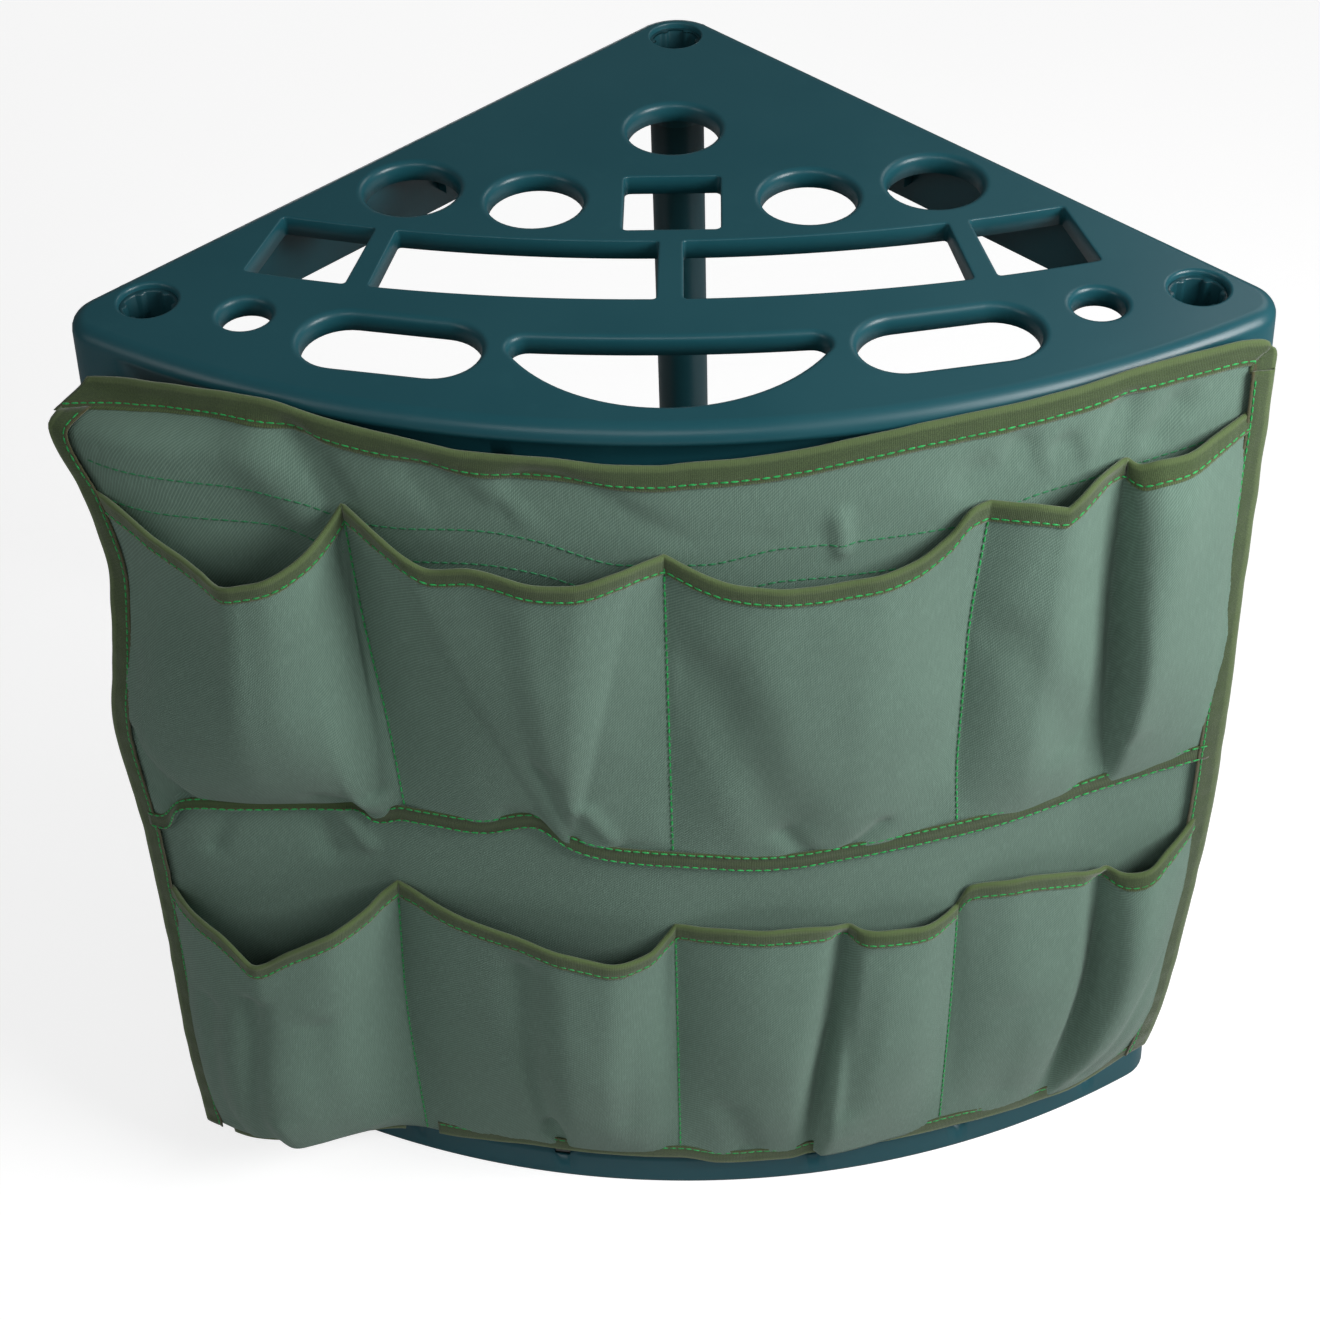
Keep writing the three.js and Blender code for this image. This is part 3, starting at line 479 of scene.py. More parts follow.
@dataclass(frozen=True)
class Workshop:
    """Makes the rack's pieces: places in the drawing frame become meshes in the part's frame."""

    corner: Vector  # the wall corner on the floor, in the part's frame, in metres

    def at(self, place: Sequence[float]) -> Vector:
        """Brings a place in millimetres into the part's frame."""
        return self.corner + Vector(place) * MM

    def piece(
        self, name: str, body: Body, finishes: Sequence[Finish], stands_for: Sequence[str] = ()
    ) -> Piece:
        """Turns a mesh drawn in millimetres into a piece that rides on the rack.

        Args:
            name: The piece's name.
            body: The mesh, in the drawing frame. It is freed here.
            finishes: The material slots in order.
            stands_for: The solids that the piece replaces.

        Returns:
            The new object.
        """
        for vert in body.verts:
            vert.co = self.at(vert.co)
        for face in body.faces:
            face.smooth = True
        mesh = meshed(name, body)
        for finish in finishes:
            mesh.materials.append(finish.made())
        made = placed(name, mesh)
        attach(made, "root")
        for node in stands_for:
            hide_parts(node)
        LOG.info("%s: %d faces", name, len(mesh.polygons))
        return made

    @staticmethod
    def web(across: Sequence[float], up: Sequence[float], place: Place) -> Body:
        """Lays a grid over a surface and gives it the weave's coordinates.

        Args:
            across: The places along the surface.
            up: The places up the surface.
            place: Gives the point for a place along and a place up.

        Returns:
            The mesh, in the drawing frame.
        """
        body = bmesh.new()
        columns, rows = len(across) - 1, len(up) - 1
        bmesh.ops.create_grid(body, x_segments=columns, y_segments=rows, size=0.5)
        body.loops.layers.uv.new("weave")
        cells = {
            vert: (across[round((vert.co.x + 0.5) * columns)], up[round((vert.co.y + 0.5) * rows)])
            for vert in body.verts
        }
        for vert, cell in cells.items():
            vert.co = place(*cell)
        Workshop.weave(body, lambda loop: cells[loop.vert])
        return body

    @staticmethod
    def weave(body: Body, place: Callable[[bmesh.types.BMLoop], tuple[float, float]]) -> None:
        """Gives each corner of each face its coordinates in the weave."""
        layer = body.loops.layers.uv["weave"]
        for face in body.faces:
            for loop in face.loops:
                loop[layer].uv = place(loop)

    @staticmethod
    def rewoven(body: Body, change: Callable[[float, float], tuple[float, float]]) -> Body:
        """Changes each pair of coordinates in the weave."""
        layer = body.loops.layers.uv["weave"]
        Workshop.weave(body, lambda loop: change(*loop[layer].uv))
        return body


def thicken(piece: Piece, thickness: float, offset: float = 0.0) -> None:
    """Gives a sheet its thickness in millimetres."""
    wall = piece.modifiers.new("thickness", "SOLIDIFY")
    wall.thickness = thickness * MM
    wall.offset = offset
    wall.use_quality_normals = True


def finished(piece: Piece) -> None:
    """Applies a piece's modifiers to its mesh."""
    graph = bpy.context.evaluated_depsgraph_get()
    mesh = bpy.data.meshes.new_from_object(piece.evaluated_get(graph))
    piece.modifiers.clear()
    piece.data = mesh


@dataclass(frozen=True)
class TrayPlan:
    """The bowed corner plan that both trays share, and the openings of the deck."""

    arc_centre: float = 136.5
    front_radius: float = 546.0
    flare: float = 6.0
    corner_radius: float = 20.0
    corner_flare: float = 4.0
    corner_steps: int = 10
    apex_radius: float = 28.0
    height: float = 50.0
    handle_hole: float = 25.6
    tool_hole: float = 13.5
    square_half: float = 25.8
    square_round: float = 3.0
    square_y: float = -214.4
    long_place: tuple[float, float] = (137.0, -338.5)
    long_tilt: float = 11.0
    long_reach: float = 23.5
    long_round: float = 22.5
    bow_radius: float = 854.0
    bow_half: float = 69.1
    bow_end: tuple[float, float] = (69.8, -342.2)
    bow_round: float = 9.0
    bow_turns: tuple[float, float] = (94.64, -30.5)
    bow_front: float = -301.0
    bow_front_radius: float = 90.0
    slot_centre: float = 518.0
    slot_back: float = 769.0
    slot_front: float = 821.0
    slot_round: float = 2.0
    post_side: float = 25.0
    corner_post: float = 263.3
    rear_post: float = -35.36

    @property
    def foot_radius(self) -> float:
        """The front radius at the skirt's lower edge."""
        return self.front_radius + self.flare

    def corner(self, level: float) -> tuple[float, float, float, float, float]:
        """Gives the front's radius, and the right corner's radius, centre and sweep, at a level."""
        front = self.front_radius + self.flare * (1 - level / self.height)
        radius = self.corner_radius + self.corner_flare * (1 - level / self.height)
        lean = ROOT_TWO * radius + self.arc_centre
        reach = front - radius
        x = (math.sqrt(2 * reach * reach - lean * lean) - lean) / 2
        y = -ROOT_TWO * radius - x
        return front, radius, x, y, math.atan2(x, self.arc_centre - y)

    def outline(self, level: float, inset: float, front_steps: Sequence[float]) -> list[Vector]:
        """Gives the plan at a height above the skirt's foot.

        Args:
            level: The height above the skirt's lower edge.
            inset: How far the outline is moved in.
            front_steps: Shares along the bowed front, from 0 at its left end to 1.

        Returns:
            The outline's points, counter-clockwise from the right corner.
        """
        front, radius, x, y, sweep = self.corner(level)
        right = arc(x, y, radius - inset, DOWN + sweep, EIGHTH, self.corner_steps)
        rear = -ROOT_TWO * self.apex_radius
        apex = arc(0, rear, self.apex_radius - inset, EIGHTH, 3 * EIGHTH, self.corner_steps)
        bow = [
            Vector((0, self.arc_centre, 0)) + turned(front - inset, DOWN + mix(-sweep, sweep, share))
            for share in front_steps[1:-1]
        ]
        return [*right, *apex, *mirrored(right), *bow]

    def share_of(self, along: float) -> float:
        """Turns a place along the bowed front into a share of it."""
        return (along / self.foot_radius / self.corner(0)[-1] + 1) / 2

    def round_hole(self, x: float, y: float, radius: float, grow: float) -> list[Vector]:
        """Gives a round hole's edge."""
        return arc(x, y, radius + grow, 0, math.tau, 48)[:-1]

    def slot(self, start: float, end: float, grow: float) -> list[Vector]:
        """Gives the edge of a slot between two arcs, with small corner radii."""
        low, high, small = self.slot_back, self.slot_front, self.slot_round
        middle = (low + high) / 2
        corners = (
            (high, end, 1, 1, 1),
            (high, start, 1, -1, 0),
            (low, start, -1, -1, -1),
            (low, end, -1, 1, 2),
        )
        points = []
        for radius, edge, out, side, quarters in corners:
            angle = DOWN + (edge - side * small) / middle
            centre = Vector((0, self.slot_centre, 0)) + turned(radius - out * small, angle)
            first = angle + quarters * math.pi / 2
            points += [centre + turned(small + grow, first - i * math.pi / 6) for i in range(4)]
            if out == side:
                ends = (end - small, start + small)[::out]
                points += self._slot_side(radius + out * grow, *ends, middle)
        return points

    def _slot_side(self, radius: float, start: float, end: float, middle: float) -> list[Vector]:
        """Gives the inner points of a slot's long side."""
        places = steps(start, end, max(4, round(abs(end - start) / 8)))
        centre = Vector((0, self.slot_centre, 0))
        return [centre + turned(radius, DOWN + place / middle) for place in places[1:-1]]

    def long_hole(self, grow: float) -> list[Vector]:
        """Gives the right long hole's edge."""
        tilt = math.radians(self.long_tilt)
        reach = turned(self.long_reach, tilt)
        centre = Vector((*self.long_place, 0))
        ends = ((centre + reach, tilt + DOWN), (centre - reach, tilt - DOWN))
        radius = self.long_round + grow
        return [p for end, first in ends for p in arc(end.x, end.y, radius, first, first + math.pi, 20)]

    def bow_hole(self, grow: float) -> list[Vector]:
        """Gives the edge of the bowl-shaped hole, with rounded ends."""
        sweep = math.asin(self.bow_half / self.bow_radius)
        back = arc(0, self.slot_centre, self.bow_radius - grow, DOWN - sweep, DOWN + sweep, 24)
        top, low = (math.radians(angle) for angle in self.bow_turns)
        right = arc(*self.bow_end, self.bow_round + grow, top, low, 10)
        front = arc(0, self.bow_front, self.bow_front_radius + grow, low, -math.pi - low, 40)
        return [*back[1:-1], *right, *front[1:-1], *mirrored(right)]

    def square_hole(self, grow: float) -> list[Vector]:
        """Gives the square hole's edge."""
        half, small = self.square_half - self.square_round, self.square_round + grow
        points = []
        for turn in range(4):
            angle = turn * math.pi / 2
            sign = turned(ROOT_TWO, angle + EIGHTH)
            points += arc(sign.x * half, self.square_y + sign.y * half, small, angle, angle + math.pi / 2, 4)
        return points

    def tool_holes(self) -> list[tuple[float, float, float]]:
        """Gives the place and the radius of each round hole for a handle."""
        wide, narrow = self.handle_hole, self.tool_hole
        right = ((72.5, -209.8, wide), (139.5, -197.1, wide), (212.4, -311.5, narrow))
        both = [(side * x, y, radius) for x, y, radius in right for side in (-1, 1)]
        return [(0.0, -139.0, wide), *both]

    def post_holes(self) -> list[tuple[float, float]]:
        """Gives the places of the posts' holes."""
        return [(-self.corner_post, -298.7), (self.corner_post, -298.7), (0.0, self.rear_post)]


def turned(length: float, angle: float) -> Vector:
    """Gives a level vector of a length at an angle."""
    return Vector((length * math.cos(angle), length * math.sin(angle), 0))


def arc(x: float, y: float, radius: float, start: float, end: float, count: int) -> list[Vector]:
    """Gives the points of a level arc, both ends included."""
    return [Vector((x, y, 0)) + turned(radius, angle) for angle in steps(start, end, count)]


def mirrored(points: Iterable[Vector]) -> list[Vector]:
    """Mirrors an outline to the left side, turning the same way round."""
    return [Vector((-p.x, p.y, p.z)) for p in reversed(list(points))]


def ring(body: Body, points: Sequence[Vector], level: float) -> Loop:
    """Adds a closed loop of edges at a height."""
    verts = [body.verts.new((p.x, p.y, level)) for p in points]
    return [body.edges.new((verts[i - 1], verts[i])) for i in range(len(verts))]


def walls(body: Body, rings: Sequence[Loop]) -> None:
    """Joins each loop of edges to the next."""
    for lower, upper in zip(rings, rings[1:]):
        bmesh.ops.bridge_loops(body, edges=[*lower, *upper])


@dataclass(frozen=True)
class Opening:
    """One opening of a deck: its edge as a function of how far it is moved out, and its lip."""

    edge: Outline
    lip: float
    depth: float = 11.0
    floor: float = 0.0  # how deep a cup's floor lies, or 0 for a hole through
    border: float = 0.9


@dataclass
class Tray:
    """One moulded tray: a thin deck with lipped openings, a rolled edge and a flared skirt."""

    shop: Workshop
    name: str
    base: float
    openings: list[Opening]
    plan: TrayPlan = field(default_factory=TrayPlan)
    wall: float = 2.8
    roll: float = 7.0
    rim: float = 0.5  # the flat edge inside the roll
    hem: float = 1.2  # the skirt's lowest row
    columns: int = 150
    crease: float = 0.7  # between the two columns where the recess ends
    clear: float = 0.003  # the least share between an even column and a marked one
    recess_depth: float = 2.0
    recess_low: float = 20.0
    recess_high: float = 40.0
    recess_half: float = 288.0
    recess_edge: float = 0.6
    recess_fade: float = 0.03  # as a share of the front
    slot_width: float = 10.0
    slot_height: float = 6.0
    slots: tuple[float, ...] = (80.0, 176.0, 270.0)
    socket: tuple[float, float] = (19.0, 16.3)  # its outer and inner radius
    web_runs: tuple[float, float, float] = (18.0, 23.5, 36.0)  # from the post, to the rear wall or the skirt
    web_lift: float = 17.0
    rear_ribs: tuple[float, ...] = (95, 190, 345)
    rib_lift: float = 12.0
    rib_reach: float = 7.0
    rib: float = 2.4

    def build(self) -> Piece:
        """Builds the tray and sets it in place of its solid."""
        body = bmesh.new()
        edges = self._skirt(body)
        for opening in self.openings:
            edges += self._lip(body, opening)
        bmesh.ops.triangle_fill(body, edges=edges, use_beauty=True, normal=(0, 0, 1))
        bmesh.ops.remove_doubles(body, verts=body.verts, dist=0.01)
        bmesh.ops.dissolve_degenerate(body, edges=body.edges, dist=0.02)
        bmesh.ops.recalc_face_normals(body, faces=body.faces)
        self._face_up(body)
        shell = self.shop.piece(self.name, body, [Finish.TRAY], [self.name.replace("_moulding", "")])
        thicken(shell, self.wall, -1.0)
        finished(shell)
        self._inside(shell)
        return shell

    def _face_up(self, body: Body) -> None:
        """Turns the faces over if the deck looks down."""
        deck = max(body.faces, key=lambda face: face.calc_area() * abs(face.normal.z))
        if deck.normal.z < 0:
            bmesh.ops.reverse_faces(body, faces=body.faces)

    def _front_shares(self) -> list[float]:
        """Gives the places along the front where the mesh has a column."""
        half, reach = self.slot_width / 2, self.recess_half
        slots = [side * slot + edge for slot in self.slots for side in (-1, 1) for edge in (-half, half)]
        marks = [self.plan.share_of(place) for place in (-reach, reach, *slots)]
        double = [self.plan.share_of(side * (reach - self.crease)) for side in (-1, 1)]
        even = [s for s in steps(0, 1, self.columns) if all(abs(s - mark) > self.clear for mark in marks)]
        return sorted([*even, *marks, *double])

    def _recessed(self, share: float) -> float:
        """Gives how much of the strap recess's depth a place along the front has."""
        half = self.plan.share_of(self.recess_half)
        return ease(min(share + half - 1, half - share) / self.recess_fade)

    def _levels(self) -> list[tuple[float, float, float]]:
        """Gives the skirt's rows from the deck down: height, inset and the strap recess's depth."""
        top, start = self.plan.height, self.plan.height - self.roll
        turns = [i / 6 * math.pi / 2 for i in range(6, 0, -1)]
        rolled = [(start + self.roll * math.sin(a), self.roll * (1 - math.cos(a)), 0.0) for a in turns]
        low, high, edge, half = self.recess_low, self.recess_high, self.recess_edge, self.slot_height / 2
        flat = [(level, 0.0, 0.0) for level in (start, high + edge)]
        deep = [(level, 0.0, self.recess_depth) for level in (high, low + half, low + edge)]
        foot = [(level, 0.0, 0.0) for level in (low, low - half, self.hem, 0.0)]
        return [(top, self.roll + self.rim, 0.0), *rolled, *flat, *deep, *foot]

    def _skirt(self, body: Body) -> Loop:
        """Adds the roll and the skirt, and gives the deck's outer edge."""
        shares = self._front_shares()
        centre = Vector((0, self.plan.arc_centre, 0))
        outlines = []
        for level, inset, recess in self._levels():
            points = self.plan.outline(level, inset, shares)
            if recess:
                for i, share in enumerate(shares[1:-1], start=len(points) - len(shares) + 2):
                    away = points[i] - centre
                    points[i] = centre + away * (1 - recess * self._recessed(share) / away.length)
            outlines.append([Vector((p.x, p.y, self.base + level)) for p in points])
        count = len(outlines[0])
        skin = Workshop.web(
            range(count + 1), range(len(outlines)), lambda i, j: outlines[round(j)][round(i) % count]
        )
        gone = [face for face in skin.faces if self._in_slot(face.calc_center_median())]
        bmesh.ops.delete(skin, geom=gone, context="FACES")
        bmesh.ops.remove_doubles(skin, verts=skin.verts, dist=0.005)
        holder = meshed("skirt_holder", skin)
        body.from_mesh(holder)
        bpy.data.meshes.remove(holder)
        height = self.base + self.plan.height
        return [e for e in body.edges if e.is_boundary and all(abs(v.co.z - height) < 0.01 for v in e.verts)]

    def _in_slot(self, place: Vector) -> bool:
        """Tells whether a place on the skirt lies in a strap slot."""
        along = math.atan2(place.x, self.plan.arc_centre - place.y) * self.plan.foot_radius
        in_height = abs(place.z - self.base - self.recess_low) < self.slot_height / 2
        in_width = any(abs(abs(along) - slot) < self.slot_width / 2 for slot in self.slots)
        return place.y < -abs(place.x) and in_height and in_width

    def _lip(self, body: Body, opening: Opening) -> Loop:
        """Adds an opening's flat border, rounded lip and collar, and gives its outer edge."""
        top = self.base + self.plan.height
        lip = opening.lip
        count = 5 if lip > 1 else 2
        turns = [i / count * math.pi / 2 for i in range(count + 1)]
        rows = [(lip + opening.border, top)]
        rows += [(lip * (1 - math.sin(a)), top - lip * (1 - math.cos(a))) for a in turns]
        rows += [(0.0, top - opening.depth)]
        if opening.floor:  # with a small fillet
            rows += [(-1.2, top - opening.floor + 0.4), (-2.2, top - opening.floor)]
        loops = [ring(body, opening.edge(grow), level) for grow, level in rows]
        walls(body, loops)
        if opening.floor:
            bmesh.ops.contextual_create(body, geom=loops[-1])
        return loops[0]

    def _inside(self, shell: Piece) -> None:
        """Adds the post sockets, their webs and the rear ribs to the shell."""
        body = bmesh.new()
        low, top = self.base, self.base + self.plan.height - self.wall + 0.5
        reach = self.plan.corner_post
        rear = ROOT_TWO * self.plan.post_side
        outer, inner = self.socket
        start, near, far = self.web_runs
        front = -(reach + rear)
        posts = ((-reach, front, (135, -108)), (reach, front, (45, -72)), (0, -rear, (45, 135)))
        for x, y, webs in posts:
            rows = [(outer, low), (outer, top), (inner, top), (inner, low)]
            loops = [ring(body, arc(x, y, radius, 0, math.tau, 40)[:-1], level) for radius, level in rows]
            walls(body, [*loops, loops[0]])
            for angle in webs:
                run = (start, far if angle < 0 else near)
                self._plank(body, (x, y), math.radians(angle), run, (low + self.web_lift, top))
        for run in self.rear_ribs:
            for side in (-1, 1):
                place = (side * (run - 3) / ROOT_TWO, -(run + 3) / ROOT_TWO)
                angle = DOWN - side * EIGHTH
                self._plank(body, place, angle, (0, self.rib_reach), (low + self.rib_lift, top))
        bmesh.ops.recalc_face_normals(body, faces=body.faces)
        for vert in body.verts:
            vert.co = self.shop.at(vert.co)
        body.from_mesh(shell.data)
        body.to_mesh(shell.data)
        body.free()

    def _plank(
        self, body: Body, place: Sequence[float], angle: float, run: Sequence[float], height: Sequence[float]
    ) -> None:
        """Adds an upright web along an angle, between two distances from a place and two heights."""
        (start, end), (low, high) = run, height
        middle = Vector((*place, 0)) + turned((start + end) / 2, angle)
        centre = Matrix.Translation((middle.x, middle.y, (low + high) / 2))
        size = Matrix.Diagonal((end - start, self.rib, high - low, 1))
        bmesh.ops.create_cube(body, size=1, matrix=centre @ Matrix.Rotation(angle, 4, "Z") @ size)


@dataclass
class Post:
    """A tube post with ribs down its bore."""

    shop: Workshop
    node: str
    x: float
    y: float
    radius: float = 16.0
    bore: float = 12.8
    rib_height: float = 1.6
    rib_share: float = 0.09
    ribs: int = 6
    sides: int = 72
    soft: float = 1.0  # how far its edges are rounded
    bottom: float = 3.3
    top: float = 596.7

    def build(self) -> Piece:
        """Builds the post and sets it in place of its solid."""

        def bore(grow: float) -> list[Vector]:
            points = []
            for i in range(self.sides):
                near = abs((i * self.ribs / self.sides + 0.5) % 1 - 0.5) < self.rib_share
                inner = self.bore - (self.rib_height if near else 0) + grow
                points.append(Vector((self.x, self.y, 0)) + turned(inner, math.tau * i / self.sides))
            return points

        def outside(grow: float) -> list[Vector]:
            return arc(self.x, self.y, self.radius + grow, 0, math.tau, self.sides)[:-1]

        low, high, soft, slight = self.bottom, self.top, self.soft, self.soft * 0.3
        rows = [(bore(0), low + soft), (bore(soft), low), (outside(-soft), low), (outside(0), low + soft)]
        rows += [(outside(0), high - soft), (outside(-slight), high - slight), (outside(-soft), high)]
        rows += [(bore(soft), high), (bore(slight), high - slight), (bore(0), high - soft)]
        body = bmesh.new()
        loops = [ring(body, points, level) for points, level in rows]
        walls(body, [*loops, loops[0]])
        bmesh.ops.recalc_face_normals(body, faces=body.faces)
        return self.shop.piece(self.node + "_tube", body, [Finish.POST], [self.node])


@dataclass(frozen=True)
class Fold:
    """A soft fold or crease: a groove along a straight run, from one place to another.

    A place is a pair in the surface's own coordinates, in millimetres. A negative depth is a ridge.
    """

    start: tuple[float, float]
    end: tuple[float, float]
    depth: float
    width: float
    end_depth: float = 0.0
    end_width: float = 0.0

    def at(self, along: float, up: float) -> float:
        """Gives how far the surface is moved in at a place."""
        dx, dy = self.end[0] - self.start[0], self.end[1] - self.start[1]
        length = math.hypot(dx, dy)
        ax, ay = along - self.start[0], up - self.start[1]
        run = (ax * dx + ay * dy) / length
        off = (ax * dy - ay * dx) / length
        share = clamp(run / length)
        width = mix(self.width, self.end_width or self.width, share)
        beyond = run - share * length
        far = math.hypot(off, beyond) / width
        if far > 4:
            return 0.0
        return mix(self.depth, self.end_depth or self.depth, share) * math.exp(-far * far)


def creases(*rows: tuple[float, ...]) -> tuple[Fold, ...]:
    """Makes folds of rows: start, end, depth and width, and where they change those at the end."""
    return tuple(Fold(row[:2], row[2:4], *row[4:]) for row in rows)


def folded(folds: Sequence[Fold], along: float, up: float) -> float:
    """Adds up the depth of all the folds at a place."""
    return sum(fold.at(along, up) for fold in folds)


@dataclass(frozen=True)
class Pleat:
    """A pleat: right of a valley the cloth stands forward with a steep flank.

    The path and the height are in millimetres, over the share from the pocket's foot to its mouth.
    """

    path: Line
    height: Line
    flank: float = 6.0
    hollow: float = 10.0
    reach: float = 40.0

    def raised(self, stand: float, along: float, share: float) -> float:
        """Gives how far out the cloth stands once the pleat is in it."""
        height = self.height.value(share)
        off = along - self.path.value(share)
        width = self.hollow if off < 0 else self.flank
        depth = clamp(height / 3) * math.exp(-((off / width) ** 2))
        front = ease(off / self.flank) * math.exp(-((max(off - self.flank, 0) / self.reach) ** 2))
        return stand * (1 - depth) + height * front


@dataclass(frozen=True)
class ClothForm:
    """The curved form of the cloth: places along the arc, heights, and how far out it stands."""

    radius: float = 555.0
    arc_centre: float = 136.5
    half: float = 306.0
    left_start: float = 165.0  # where the cloth leaves the arc, and how far on it is wholly free
    left_reach: float = 120.0
    right_reach: float = 81.0
    top: Line = Line(
        (-306, 583), (-300, 585), (-267, 592), (-206, 597), (-164, 592), (-114, 587), (-98, 585),
        (-57, 585), (-32, 582.5), (-5, 582), (9, 583.5), (30, 584.5), (125, 594.5), (197, 597), (247, 600),
        (285, 600.5), (306, 597),
    )
    foot: Line = Line(
        (-306, 16), (-240, 22), (-200, 27), (-160, 28.5), (-91, 36), (-54, 35), (-4, 34.8), (20, 28.6),
        (64, 28.3), (78, 32), (122, 31.8), (169, 31.5), (190, 30), (240, 28.6), (276, 38), (306, 61),
    )
    left_out: Line = Line(
        (16, 44), (86, 43), (223, 36), (361, 36), (436, 33), (486, 27), (534, 26), (565, 24), (584, 3),
        (600, 1),
    )
    left_shift: Line = Line(
        (16, 2), (86, 0), (223, 1), (290, 3), (361, 0), (436, 12), (486, 16), (534, 8), (566, -6), (584, 5),
        (600, 6),
    )
    right_out: Line = Line((40, 8), (70, 14), (180, 20), (290, 21), (360, 20), (450, 14), (560, 8), (594, 6))
    right_shift: Line = Line((40, -6), (60, -5), (100, -2), (180, 1), (290, 3), (360, 1), (594, 1))
    seam: Line = Line(
        (-306, 300), (-288, 303), (-268, 329), (-243, 334), (-208, 334), (-180, 334), (-170, 323),
        (-151, 330), (-111, 330), (-78, 340), (-60, 326), (-16, 315), (-2, 314), (55, 308), (94, 311),
        (144, 314), (180, 315), (241, 321), (296, 331), (306, 332),
    )
    lean: Line = Line((0, 0), (555, 0), (575, -1.5), (600, -4.5))

    def spot(self, along: float, height: float, out: float) -> Vector:
        """Gives the point at a place along the arc, a height and a distance out."""
        angle = along / self.radius
        reach = self.radius + out
        return Vector((reach * math.sin(angle), self.arc_centre - reach * math.cos(angle), height))

    def eased(self, along: float, height: float) -> tuple[float, float]:
        """Gives where a place along the cloth really lies, and how far out the cloth is pulled there."""
        left = ease((-along - self.left_start) / self.left_reach)
        right = clamp((along - self.half) / self.right_reach + 1, 0, 1.2) ** 1.5
        shift = left * self.left_shift.value(height) + right * self.right_shift.value(height)
        out = left * self.left_out.value(height) + right * self.right_out.value(height)
        inward = self.lean.value(height) * (1 - clamp(left + right))
        return along + shift, out + inward

    def level(self, along: float, share: float) -> float:
        """Gives the height of a share of the way from the cloth's foot to its top."""
        return mix(self.foot.value(along), self.top.value(along), share)


@dataclass(frozen=True)
class Pocket:
    """One pocket between two seams.

    The mouth's points are place along the arc, height and distance out. The belly's points are share
    across and how far the cloth swells half way down.
    """

    mouth: tuple[tuple[float, float, float], ...]
    belly: Line
    corners: tuple[int, ...] = ()
    belly_peak: float = 0.45
    rise: float = 1.1
    ridges: tuple[float, float, float, float] | None = None  # shares across at the mouth, then at the foot
    hang: Line = Line((0, 0, 0), (1, 0, 0))  # how far down and out the foot hangs, by the share across
    folds: tuple[Fold, ...] = ()
    pleats: tuple[Pleat, ...] = ()

    def ridged(self, t: float, share: float) -> float:
        """Moves a share across so that the mouth's two ridges run down to their places at the foot."""
        if not self.ridges:
            return t
        left_top, right_top, left_foot, right_foot = self.ridges
        left, right = mix(left_foot, left_top, share), mix(right_foot, right_top, share)
        if t < left:
            return t / left * left_top
        if t > right:
            return 1 - (1 - t) / (1 - right) * (1 - right_top)
        return left_top + (t - left) / (right - left) * (right_top - left_top)

    def swell(self, share: float) -> float:
        """Gives how much of the belly there is at a share of the way up."""
        return math.sin(math.pi * clamp(share) ** (math.log(0.5) / math.log(self.belly_peak))) ** 1.2

    def mouth_line(self) -> Line:
        """Gives the mouth by its share across, measured along the cloth."""
        runs = [0.0]
        for a, b in zip(self.mouth, self.mouth[1:]):
            runs.append(runs[-1] + math.dist(a, b))
        points = [(run / runs[-1], *point) for run, point in zip(runs, self.mouth)]
        return Line(*points, corners=self.corners)


